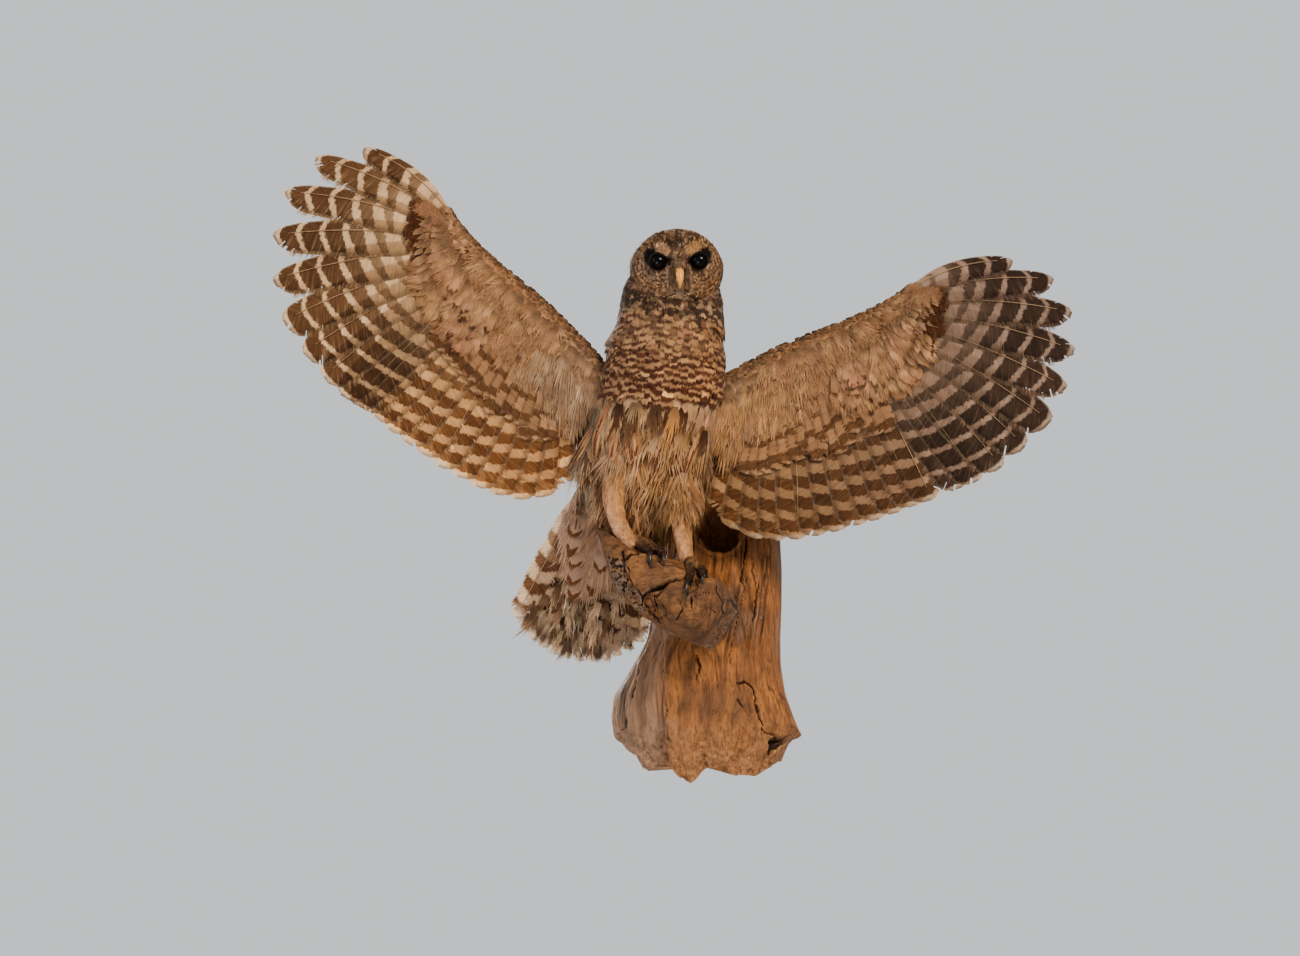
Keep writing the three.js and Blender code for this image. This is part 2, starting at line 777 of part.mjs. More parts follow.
function addNode(group, name, solid, { colour, roughness }) {
  const mesh = largest(solid).getMesh();
  const stride = mesh.numProp;
  const position = new Float32Array(mesh.numVert * 3);
  for (let i = 0; i < mesh.numVert; i++) {
    position.set(mesh.vertProperties.subarray(i * stride, i * stride + 3), i * 3);
  }
  const geometry = new THREE.BufferGeometry()
    .setAttribute("position", new THREE.BufferAttribute(position, 3))
    .setIndex(new THREE.BufferAttribute(mesh.triVerts, 1));
  const material = new THREE.MeshStandardMaterial({ color: colour, roughness, metalness: 0 });
  const node = new THREE.Mesh(geometry, material);
  node.name = name;
  group.add(node);
}

// A level of the torso at any height.
function torsoLevel(z) {
  const i = Math.max(1, TORSO.levels.findIndex((level) => level.z <= z));
  const [a, b] = [TORSO.levels[i - 1], TORSO.levels[i]];
  const q = (z - a.z) / (b.z - a.z);
  return Object.fromEntries(Object.keys(a).map((key) => [key, lerp(a[key], b[key], q)]));
}

function torsoPoint(z, turn) {
  const { x, y, w, front, back } = torsoLevel(z);
  const s = Math.sin(degrees(turn));
  return new THREE.Vector3(x + w * Math.cos(degrees(turn)), y + (s < 0 ? front : back) * s, z);
}

// A three-sided tuft that tapers from its root, sunk in the body, to a fine tip.
function flankLocks(grow = 0) {
  return FLANK_LOCKS.flatMap(({ z, from, to, count, length, width, flare }) =>
    Array.from({ length: count }, (_, i) => {
      const turn = lerp(from, to, count > 1 ? i / (count - 1) : 0.5);
      const root = torsoPoint(z, turn);
      const out = new THREE.Vector3(Math.cos(degrees(turn)), Math.sin(degrees(turn)), 0);
      const down = torsoPoint(z - 14, turn).sub(root).normalize();
      const along = down.addScaledVector(out, flare).normalize();
      const across = new THREE.Vector3().crossVectors(along, out).normalize();
      const lift = new THREE.Vector3().crossVectors(across, along).normalize();
      const ends = [
        [-0.12, 1, -3],
        [0.55, 0.8, 0.5],
        [1, 0.12, 0],
      ];
      return loft(
        ends.map(([share, size, rise]) => {
          const at = root
            .clone()
            .addScaledVector(along, length * share)
            .addScaledVector(lift, -rise);
          const half = (width * size) / 2 + grow;
          return [
            at.clone().addScaledVector(across, half),
            at.clone().addScaledVector(across, -half),
            at.clone().addScaledVector(lift, -half * 0.55),
          ];
        }),
      );
    }),
  );
}

const torso = (grow = 0) =>
  union([
    levelLoft(TORSO.levels, TORSO.sides, grow),
    ...flankLocks(grow),
  ]);
const neck = (grow = 0) => levelLoft(NECK.levels, TORSO.sides, grow);

// Head, eyes and bill.
const lids = union([lidCup(1), lidCup(-1)]);
const sockets = union([eyeball(1, EYE.socket), eyeball(-1, EYE.socket)]);
const billClear = union([upperBill(GAP), lowerBill(GAP)]);
const headShape = inHeadFrame(
  union([headSolid(), lids]).subtract(sockets).subtract(billClear),
).subtract(neck(GAP));
addNode(birdGroup, "head", headShape, PLUMAGE);
addNode(birdGroup, "eye_left", inHeadFrame(eyeball(1, EYE.radius)), {
  colour: "#120d0b",
  roughness: 0.08,
});
addNode(birdGroup, "eye_right", inHeadFrame(eyeball(-1, EYE.radius)), {
  colour: "#120d0b",
  roughness: 0.08,
});
const nostrils = union(
  [1, -1].map((side) => {
    const [x, y, z] = BILL.nostril;
    return ellipsoid({ x: side * x, y, z }, 1, 1.9, 1.2, 8, 6);
  }),
);
const horn = { colour: "#cda36a", roughness: 0.5 };
addNode(birdGroup, "bill_upper", inHeadFrame(upperBill().subtract(nostrils)), horn);
addNode(birdGroup, "bill_lower", inHeadFrame(lowerBill().subtract(upperBill(GAP))), horn);

// Neck and torso, parted by a thin level cut.
const neckOpen = neck().trimByPlane([0, 0, 1], TORSO.top + GAP / 2);
addNode(birdGroup, "neck", neckOpen, PLUMAGE);
const torsoCut = torso().trimByPlane([0, 0, -1], -(TORSO.top - GAP / 2));
addNode(birdGroup, "torso", torsoCut, PLUMAGE);

// Wings, each parted between the innermost primary and the outermost secondary.
const bodyClear = union([torso(GAP), neck(GAP)]);
for (const [side, mirror] of [
  ["left", 1],
  ["right", -1],
]) {
  const fan = FAN[side];
  const whole = union([
    wingFlesh(mirror),
    ...primaryVanes(mirror, fan),
    ...secondaryVanes(mirror),
    ...covertVanes(mirror, fan, 1),
    ...covertVanes(mirror, fan, -1),
  ]).subtract(bodyClear);
  const along = degrees(HAND_CUT.angle);
  const normal = new THREE.Vector3()
    .addScaledVector(OUTWARD, Math.sin(along))
    .addScaledVector(REARWARD, -Math.cos(along));
  normal.x *= mirror;
  const offset = wingPoint(HAND_CUT.s, HAND_CUT.t, 0, mirror).dot(normal);
  const hand = whole.trimByPlane(normal.toArray(), offset + GAP / 2);
  const arm = whole.trimByPlane(normal.clone().negate().toArray(), -(offset - GAP / 2));
  addNode(birdGroup, `wing_${side}_arm`, arm, PLUMAGE);
  addNode(birdGroup, `wing_${side}_hand`, hand, PLUMAGE);
}

// Tail.
const rump = levelLoft(TAIL.rump, 14);
const tail = union([
  rump,
  ...tailVanes(),
  ...tailCoverts(TAIL.under),
  ...tailCoverts(TAIL.over),
]).subtract(torso(GAP));
addNode(birdGroup, "tail", tail, PLUMAGE);

// Legs, feet and claws, in the wood's frame because they are shaped to the burl.
const toWood = (solid) => solid.transform(birdGroup.matrixWorld.elements);
const burlClear = burl(GAP);
for (const side of ["left", "right"]) {
  const toes = TOES[side];
  const leg = LEGS[side];
  const ankle = new THREE.Vector3(leg.at(-1).x, leg.at(-1).y, leg.at(-1).z).applyMatrix4(
    birdGroup.matrixWorld,
  );
  const sole = (grow) => ellipsoid(ankle, 12.5 + grow, 13 + grow, 9 + grow, 12, 6);
  const footAt = (grow) => union([sole(grow), ...toes.map((toe) => tube(toeStations(toe), 7, grow))]);
  const foot = footAt(0).subtract(burlClear);
  const footClear = footAt(GAP);
  const shank = toWood(tube(leg, 14).subtract(torso(GAP))).subtract(burlClear);
  addNode(woodGroup, `leg_${side}`, shank.subtract(footClear), PALE_PLUMAGE);
  addNode(woodGroup, `foot_${side}`, foot, PALE_PLUMAGE);
  toes.forEach((toe, i) => {
    const claw = tube(clawStations(toe), 7).subtract(footClear).subtract(burlClear);
    addNode(woodGroup, `claw_${side}_${i + 1}`, claw, { colour: "#1c1613", roughness: 0.35 });
  });
}

// Driftwood.
const wood = { colour: "#8a5f3c", roughness: 0.8 };
addNode(woodGroup, "slab", slab(), wood);
addNode(woodGroup, "burl", burl().subtract(slab(GAP)), wood);

export default part;
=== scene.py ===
import math

import bpy
import numpy as np
from mathutils import Matrix, Vector
from mathutils.kdtree import KDTree


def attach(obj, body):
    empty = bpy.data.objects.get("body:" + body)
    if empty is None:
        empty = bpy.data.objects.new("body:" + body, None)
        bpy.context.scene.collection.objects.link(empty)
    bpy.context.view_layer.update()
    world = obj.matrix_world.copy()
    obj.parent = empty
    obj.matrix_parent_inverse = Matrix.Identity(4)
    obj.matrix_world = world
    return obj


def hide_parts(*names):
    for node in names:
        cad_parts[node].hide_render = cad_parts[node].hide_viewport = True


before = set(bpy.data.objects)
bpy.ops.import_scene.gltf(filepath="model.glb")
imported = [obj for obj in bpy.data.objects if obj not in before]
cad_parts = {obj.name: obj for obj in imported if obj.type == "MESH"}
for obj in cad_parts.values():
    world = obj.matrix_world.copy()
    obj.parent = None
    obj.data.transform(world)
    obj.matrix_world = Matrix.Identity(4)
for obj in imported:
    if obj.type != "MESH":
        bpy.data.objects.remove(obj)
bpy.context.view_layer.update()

MM = 0.001
rng = np.random.default_rng(11)
TAU = 2 * math.pi

# ------------------------------------------------------------------ maths helpers


def turn(axis, degrees):
    """A right-handed turn about x, y or z, as a matrix."""
    c, s = math.cos(math.radians(degrees)), math.sin(math.radians(degrees))
    i, j = [(1, 2), (2, 0), (0, 1)]["xyz".index(axis)]
    m = np.eye(3)
    m[i, i] = m[j, j] = c
    m[i, j], m[j, i] = -s, s
    return m


# The owl faces the camera, which looks up at it from its right, and leans 9 degrees to one side.
CAMERA_TURN = turn("z", 12.6) @ turn("x", 16.2)
BIRD_TURN = CAMERA_TURN @ turn("y", 9.3)
BIRD_AT = np.array([-14.8, -220.0, 263.8])
HEAD_TURN = turn("y", -10.5) @ turn("z", 3.5)
HEAD_AT = np.array([0.0, 2.0, 105.0])
FORWARD = np.array([0.0, -1.0, 0.0])


def bird(p):
    return np.asarray(p) @ BIRD_TURN.T + BIRD_AT


def head_to_bird(p):
    return np.asarray(p) @ HEAD_TURN.T + HEAD_AT


def head_to_part(p):
    return bird(head_to_bird(p))


def cols(*parts):
    """Arrays and numbers side by side, along a new last axis."""
    return np.stack(np.broadcast_arrays(*parts), -1)


def unit(v):
    return v / np.maximum(np.linalg.norm(v, axis=-1, keepdims=True), 1e-9)


def ramp(a, b, x):
    """A smooth step from 0 at a to 1 at b."""
    t = np.clip((np.asarray(x, float) - a) / (b - a), 0, 1)
    return t * t * (3 - 2 * t)


def mix(a, b, t):
    """From a at 0 to b at 1. Colours take a share for each feather."""
    t = np.asarray(t, float)
    if np.ndim(a) and np.ndim(t) and np.shape(a)[-1] == 3 and t.shape[-1:] != (3,):
        t = t[..., None]
    elif np.ndim(b) and np.ndim(t) and np.shape(b)[-1] == 3 and t.shape[-1:] != (3,):
        t = t[..., None]
    return np.asarray(a) * (1 - t) + np.asarray(b) * t


def rgb(r, g, b):
    """A colour as it looks on a screen, as linear light."""
    c = np.array([r, g, b]) / 255
    return np.where(c < 0.04045, c / 12.92, ((c + 0.055) / 1.055) ** 2.4)


def lattice(p, seed=0):
    """Smooth noise from -1 to 1 at points p, with one lump per unit."""
    cell = np.floor(p).astype(np.int64)
    f = p - cell
    f = f * f * (3 - 2 * f)
    total = 0
    for corner in range(8):
        o = np.array([(corner >> k) & 1 for k in range(3)])
        c = cell + o
        h = (c[..., 0] * 73856093) ^ (c[..., 1] * 19349663) ^ (c[..., 2] * 83492791) ^ (seed * 2654435)
        h = (h ^ (h >> 13)) * 1274126177 & 0x7FFFFFFF
        h = ((h ^ (h >> 16)) & 0xFFFF) / 32767.5 - 1
        total = total + h * np.prod(np.where(o == 1, f, 1 - f), axis=-1)
    return total


def cloud(p, size, seed=0, octaves=3):
    """Noise with lumps of the given size in millimetres, and finer ones in each octave."""
    p = np.asarray(p, float) / size
    return sum(lattice(p * 2**k, seed + k) / 2**k for k in range(octaves)) / 0.8


def smooth_table(keys, rows, at, blur):
    """Rows of numbers read at keys, with their corners rounded over blur."""
    keys, rows = np.asarray(keys, float), np.asarray(rows, float)
    order = np.argsort(keys)
    keys, rows = keys[order], rows[order]
    offsets = np.linspace(-1.6, 1.6, 9)
    weights = np.exp(-offsets**2)
    weights /= weights.sum()
    out = 0
    for o, w in zip(offsets, weights):
        x = np.clip(np.asarray(at) + o * blur, keys[0], keys[-1])
        out = out + w * np.stack([np.interp(x, keys, rows[:, k]) for k in range(rows.shape[1])], -1)
    return out


def segment_distance(x, z, start, end):
    dx, dz = end[0] - start[0], end[1] - start[1]
    t = np.clip(((x - start[0]) * dx + (z - start[1]) * dz) / (dx * dx + dz * dz), 0, 1)
    return np.hypot(x - start[0] - t * dx, z - start[1] - t * dz)


def outline_distance(x, z, outline):
    """How far points lie from a closed outline, less than 0 inside it."""
    near = np.full(np.shape(x), 1e9)
    inside = np.zeros(np.shape(x), bool)
    for start, end in zip(outline, outline[1:] + outline[:1]):
        near = np.minimum(near, segment_distance(x, z, start, end))
        rise = (end[1] - start[1]) or 1e-9
        passes = (start[1] > z) != (end[1] > z)
        inside ^= passes & (x < start[0] + (z - start[1]) * (end[0] - start[0]) / rise)
    return np.where(inside, -near, near)


# ------------------------------------------------------------------ colours

DARK = rgb(58, 38, 26)
BROWN = rgb(98, 68, 46)
WARM = rgb(140, 100, 66)
BUFF = rgb(196, 158, 116)
CREAM = rgb(222, 198, 166)
GREY = rgb(176, 160, 146)
WHITE = rgb(232, 220, 204)
ROSE = rgb(204, 150, 116)
HORN = rgb(196, 150, 104)
ORANGE = rgb(206, 150, 88)
FRINGE = rgb(196, 176, 152)
RUST = rgb(104, 62, 34)
UMBER = mix(DARK, BROWN, 0.6)
IVORY = mix(CREAM, BUFF, 0.5)
STRAW = mix(CREAM, BUFF, 0.4)
BLUSH = mix(ROSE, BUFF, 0.5)
TAN = mix(WARM, BROWN, 0.3)
STONE = mix(GREY, BUFF, 0.5)
PEARL = mix(GREY, ROSE, 0.3)


def vary(colour, n, spread=0.1, hue=0.03):
    """A colour for each of n feathers, which differ in brightness and a little in hue."""
    c = np.broadcast_to(colour, (n, 3))
    return c * np.exp(rng.normal(0, spread, (n, 1))) * np.exp(rng.normal(0, hue, (n, 3)))


# ------------------------------------------------------------------ meshes and materials


def new_mesh(name, verts, tris, uvs=None, attributes=None, smooth=True):
    me = bpy.data.meshes.new(name)
    verts, tris = np.ascontiguousarray(verts, dtype=np.float32), np.ascontiguousarray(tris, dtype=np.int32)
    me.vertices.add(len(verts))
    me.vertices.foreach_set("co", (verts * MM).ravel())
    me.loops.add(tris.size)
    me.loops.foreach_set("vertex_index", tris.ravel())
    me.polygons.add(len(tris))
    me.polygons.foreach_set("loop_start", np.arange(0, tris.size, 3, dtype=np.int32))
    me.update(calc_edges=True)
    me.validate()
    if smooth:
        me.shade_smooth()
    for key, uv in (uvs or {}).items():
        layer = me.uv_layers.new(name=key)
        layer.data.foreach_set("uv", uv[tris.ravel()].astype(np.float32).ravel())
    for key, value in (attributes or {}).items():
        a = me.attributes.new(key, "FLOAT_VECTOR", "POINT")
        a.data.foreach_set("vector", value.astype(np.float32).ravel())
    return me


def piece(name, me, material, slot, *nodes):
    """Put a mesh in the scene as one piece, in place of the CAD nodes that it covers."""
    o = bpy.data.objects.new(name, me)
    bpy.context.collection.objects.link(o)
    me.materials.append(material)
    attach(o, "root")
    if nodes:
        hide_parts(*nodes)
    return o


class Value:
    """A socket of a material that can be added, subtracted and multiplied."""

    def __init__(self, tree, socket):
        self.tree, self.socket = tree, socket

    def __add__(self, other):
        return self.tree.math("ADD", self, other)

    def __radd__(self, other):
        return self.tree.math("ADD", other, self)

    def __sub__(self, other):
        return self.tree.math("SUBTRACT", self, other)

    def __rsub__(self, other):
        return self.tree.math("SUBTRACT", other, self)

    def __mul__(self, other):
        return self.tree.math("MULTIPLY", self, other)

    def __rmul__(self, other):
        return self.tree.math("MULTIPLY", other, self)


class Tree:
    """A material's nodes, written as calls that take values or plain numbers."""

    def __init__(self, name):
        self.material = bpy.data.materials.new(name)
        self.material.use_nodes = True
        self.t = self.material.node_tree
        self.t.nodes.clear()

    def node(self, kind, inputs=None, **settings):
        n = self.t.nodes.new("ShaderNode" + kind)
        for key, value in settings.items():
            setattr(n, key, value)
        for key, value in (inputs or {}).items():
            self.put(n.inputs[key], value)
        return n

    def put(self, socket, value):
        if isinstance(value, Value):
            self.t.links.new(value.socket, socket)
        elif np.ndim(value):
            value = [float(v) for v in value]
            socket.default_value = value + [1.0] if socket.type == "RGBA" and len(value) == 3 else value
        else:
            socket.default_value = value

    def math(self, op, *values, clamp=False):
        n = self.node("Math", operation=op, use_clamp=clamp)
        for i, v in enumerate(values):
            self.put(n.inputs[i], v)
        return Value(self, n.outputs[0])

    def step(self, a, b, x, low=0.0, high=1.0):
        n = self.node("MapRange", interpolation_type="SMOOTHSTEP")
        for key, v in zip(("Value", "From Min", "From Max", "To Min", "To Max"), (x, a, b, low, high)):
            self.put(n.inputs[key], v)
        return Value(self, n.outputs["Result"])

    def blend(self, factor, a, b, mode="MIX"):
        n = self.node("Mix", data_type="RGBA", blend_type=mode, clamp_factor=True)
        self.put(n.inputs["Factor"], factor)
        self.put(n.inputs[6], a)
        self.put(n.inputs[7], b)
        return Value(self, n.outputs[2])

    def shaded(self, factor, colour, tint):
        """The colour, multiplied by a tint where the factor is 1."""
        return self.blend(factor, colour, self.blend(1.0, colour, tint, "MULTIPLY"))

    def read(self, kind, inputs=None, output=0, **settings):
        return Value(self, self.node(kind, inputs, **settings).outputs[output])

    def split(self, vector):
        return [Value(self, out) for out in self.node("SeparateXYZ", {0: vector}).outputs]

    def join(self, x, y, z):
        return self.read("CombineXYZ", {0: x, 1: y, 2: z})

    def attribute(self, name):
        return self.read("Attribute", output="Vector", attribute_name=name, attribute_type="GEOMETRY")

    def uv(self, name):
        return self.read("UVMap", uv_map=name)

    def place(self):
        return self.read("TexCoord", output="Object")

    def hollow(self):
        return self.read("NewGeometry", output="Pointiness")

    def scaled(self, vector, x, y, z):
        return self.read("VectorMath", {0: vector, 1: (x, y, z)}, operation="MULTIPLY")

    def noise(self, vector, scale, detail=2.0, rough=0.5):
        inputs = {"Vector": vector, "Scale": scale, "Detail": detail, "Roughness": rough}
        return self.read("TexNoise", inputs, "Fac")

    def cracks(self, vector, scale):
        return self.read("TexVoronoi", {"Vector": vector, "Scale": scale}, "Distance",
            feature="DISTANCE_TO_EDGE")

    def bump(self, height, strength, distance):
        return self.read("Bump", {"Height": height, "Strength": strength, "Distance": distance})

    def principled(self, **inputs):
        return self.read("BsdfPrincipled", {k.replace("_", " "): v for k, v in inputs.items()})

    def finish(self, shader=None, **inputs):
        self.node("OutputMaterial", {0: shader or self.principled(**inputs)})
        return self.material


def plumage(name, through=0.3, roughness=0.78, soft=0.3, rings=False, tip=0.98, tuck=0.0, sheen=0.1):
    """Feather vanes. Each vane brings its colours and the layout of its bars and streak. through
    is the share of light let through, soft blurs the bars' edges, the pale end starts at tip, and
    tuck is the shade where one vane lies under the next."""
    m = Tree(name)
    u, v, _ = m.split(m.uv("vane"))
    side = u * 2.0 - 1.0
    across = m.math("ABSOLUTE", side)
    bars, duty_tip, duty_root = m.split(m.attribute("pattern"))
    streak, streak_from, dark_tip = m.split(m.attribute("layout"))
    length, width, seed = m.split(m.attribute("size"))
    chevron, pale_edge, mottle = m.split(m.attribute("form"))
    place = m.place()
    wobble = m.noise(place, 230.0, 3.0, 0.6) - 0.5

    # Bars across the vane, counted back from its tip. Near the root they draw in to the shaft.
    back = (1.0 - v) * bars
    curve = m.math("POWER", across, 1.5)
    phase = m.math("MULTIPLY_ADD", curve, chevron, back) + wobble * 0.34
    wave = m.math("SINE", m.math("MULTIPLY_ADD", phase, TAU, m.math("MULTIPLY_ADD", seed, 2.4, -0.95)))
    duty = m.step(0.15, 0.75, v, duty_root, duty_tip)
    duty = m.math("SUBTRACT", duty, across * (1.0 - v) * 0.26, clamp=True)
    edge = m.math("COSINE", duty * math.pi) * (1 + soft)
    bar = m.step(edge - soft, edge + soft, wave)
    bar = bar * m.math("MINIMUM", bars, 1.0)
    # A dark streak along the shaft, and a dark end.
    thin = across + wobble * 0.35
    line = m.step(streak, streak * 0.4, thin) * m.step(streak_from, streak_from + 0.2, v)
    line = line * m.math("GREATER_THAN", streak, 0.01)
    end = m.step(dark_tip - 0.1, dark_tip + 0.08, m.math("MULTIPLY_ADD", wobble, 0.4, v))
    marked = m.math("MAXIMUM", bar, m.math("MAXIMUM", line, end))
    if rings:
        # Rings round each eye; such vanes have no bars, and give the rings' strength instead.
        eyes_at = [head_to_part(EYE * [s, 1, 1]) * MM for s in (-1, 1)]
        near = m.math("MINIMUM", *[m.read("VectorMath", {0: place, 1: at}, "Value", operation="DISTANCE")
            for at in eyes_at])
        turn_of = m.noise(place, 120.0, 2.0) - 0.5
        ripple = m.math("SINE", m.math("MULTIPLY_ADD", near, TAU / 0.0054, turn_of * 15.0))
        broken = m.step(0.4, 0.56, m.noise(place, 240.0, 3.0, 0.7))
        ring = m.step(-0.4, 0.9, ripple) * broken * duty_root
        marked = m.math("MAXIMUM", marked, ring)
    speckle = m.step(0.5, 0.66, m.noise(place, 620.0, 3.0, 0.7))
    marked = m.math("MAXIMUM", marked, speckle * mottle, clamp=True)
    colour = m.blend(marked, m.attribute("ground"), m.attribute("mark"))

    # Barbs: fine lines that run out and forwards from the shaft.
    along = v * length - across * (width * 0.3)
    barb = m.noise(m.join(side * 0.5, along * 1.15, seed * 9.0), 1.0, 3.0, 0.6)
    colour = m.shaded(m.step(0.3, 0.72, barb, 0.0, 0.5), colour, (0.42, 0.4, 0.38))
    slow = m.noise(place, 46.0, 3.0)
    colour = m.shaded(m.step(0.35, 0.7, slow, 0.0, 0.4), colour, (0.55, 0.5, 0.45))
    ragged = m.math("MULTIPLY_ADD", barb - 0.5, 0.3, across)
    rim = m.math("MAXIMUM", m.step(0.84, 1.02, ragged), m.step(tip, 1.0, v))
    colour = m.blend(rim * pale_edge, colour, FRINGE)
    if tuck:
        # Streaks of the pale ground run through the dark bars, from the shaft out to the edge.
        strand = m.noise(m.join(side * 0.8, along * 0.42, seed * 9.0), 1.0, 3.0, 0.7)
        fringed = m.step(0.5, 0.74, strand) * m.step(0.0, 0.9, side, 0.15, 0.7)
        colour = m.blend(fringed * marked, colour, m.blend(0.5, m.attribute("mark"), m.attribute("ground")))
        colour = m.shaded(m.step(0.5, 0.3, strand, 0.0, 0.5), colour, (0.5, 0.42, 0.36))
        # Shade where one vane dips under the next, and along its shaft.
        beside = m.step(0.1, 0.03, across) * m.step(0.0, 0.02, across, 0.0, 0.8)
        under = m.math("MAXIMUM", m.step(0.62, 1.0, side), beside)
        colour = m.shaded(under * tuck, colour, (0.4, 0.33, 0.28))
    # Painted shade: each vane is darkened towards its root, where the feathers over it shade it; this also
    # stands in part for the greyer down there.
    shade = m.step(0.0, 0.25, v, 0.7, 1.0) if tuck else m.step(0.0, 0.5, v, 0.5, 1.0)
    colour = m.blend(1.0, colour, m.join(shade, shade, shade), "MULTIPLY")
    bump = m.bump(barb, 0.4, 0.0007)
    front = m.principled(Base_Color=colour, Roughness=roughness, Specular_IOR_Level=0.25,
        Sheen_Weight=sheen, Sheen_Roughness=0.5, Normal=bump)
    if not through:
        return m.finish(front)
    behind = m.read("BsdfTranslucent", {"Color": colour})
    return m.finish(m.read("MixShader", {0: through, 1: front, 2: behind}))


# ------------------------------------------------------------------ vanes and tufts


def vane_template(columns, segments, split=0.74, round_tip=0.2, waist=0.55):
    """A leaf of columns that part near the tip, each ending in its own point."""
    us = np.linspace(-1, 1, columns + 1)
    vs = split * np.linspace(0, 1, segments + 1)
    u = [x for _ in vs for x in us]
    v = [y * (1 - round_tip * 0.5 * x * x * (y / split)) for y in vs for x in us]
    tris = []
    n = columns + 1
    for i in range(segments):
        for j in range(columns):
            a, b, c, d = i * n + j, i * n + j + 1, (i + 1) * n + j + 1, (i + 1) * n + j
            tris += [(a, b, c), (a, c, d)]
    for j in range(columns):
        middle = (us[j] + us[j + 1]) / 2
        tris.append((segments * n + j, segments * n + j + 1, len(u)))
        u.append(middle)
        v.append(1 - round_tip * middle**2)
    u, v = np.array(u), np.array(v)
    loose = v >= split * 0.86
    width = waist + (1 - waist) * np.sin(np.clip(v / split, 0, 1) * math.pi / 2)
    return u, v, width * np.where(v > split * 1.01, 0.8, 1), loose, np.array(tris)


def strand_template(count, fan, blade=0.24, segments=2):
    """A tuft of narrow blades that spread from one root."""
    u, v, tris = [], [], []
    for k in range(count):
        c = (k / (count - 1) * 2 - 1) * fan if count > 1 else 0.0
        reach = 1 - 0.3 * abs(c) - 0.12 * (k % 2)
        start = len(u)
        for i in range(segments):
            q = i / segments
            for s in (-1, 1):
                u.append(c * (0.35 + 0.65 * q) + s * blade * (1 - 0.35 * q))
                v.append(reach * q)
        u.append(c)
        v.append(reach)
        for i in range(segments - 1):
            a = start + 2 * i
            tris += [(a, a + 1, a + 3), (a, a + 3, a + 2)]
        a = start + 2 * (segments - 1)
        tris.append((a, a + 1, a + 2))
    u, v = np.array(u), np.array(v)
    return u, v, np.ones(len(u)), v > 0.3, np.array(tris)


TEMPLATES = {
    "body": vane_template(6, 3),
    "scallop": vane_template(8, 4, split=0.84, round_tip=0.34, waist=0.6),
    "soft": vane_template(7, 3, split=0.5, round_tip=0.3, waist=0.4),
    "small": vane_template(4, 2, split=0.66, round_tip=0.25),
    "tiny": vane_template(3, 1, split=0.5, round_tip=0.2, waist=0.7),
    "down": strand_template(6, 1.0, 0.13, 3),
    "fur": strand_template(4, 0.8, 0.2, 2),
    "bristle": strand_template(3, 0.5, 0.09, 3),
    "streak": vane_template(5, 4, split=0.6, round_tip=0.5, waist=0.5),
}


def drawn(value, n):
    """A number for each of n feathers from a range, or the value as it is."""
    return rng.uniform(*value, n) if isinstance(value, tuple) else value


def shade(value, n):
    """A colour for each of n feathers from (colour, spread), or the value as it is."""
    return vary(value[0], n, *value[1:]) if isinstance(value, tuple) else value


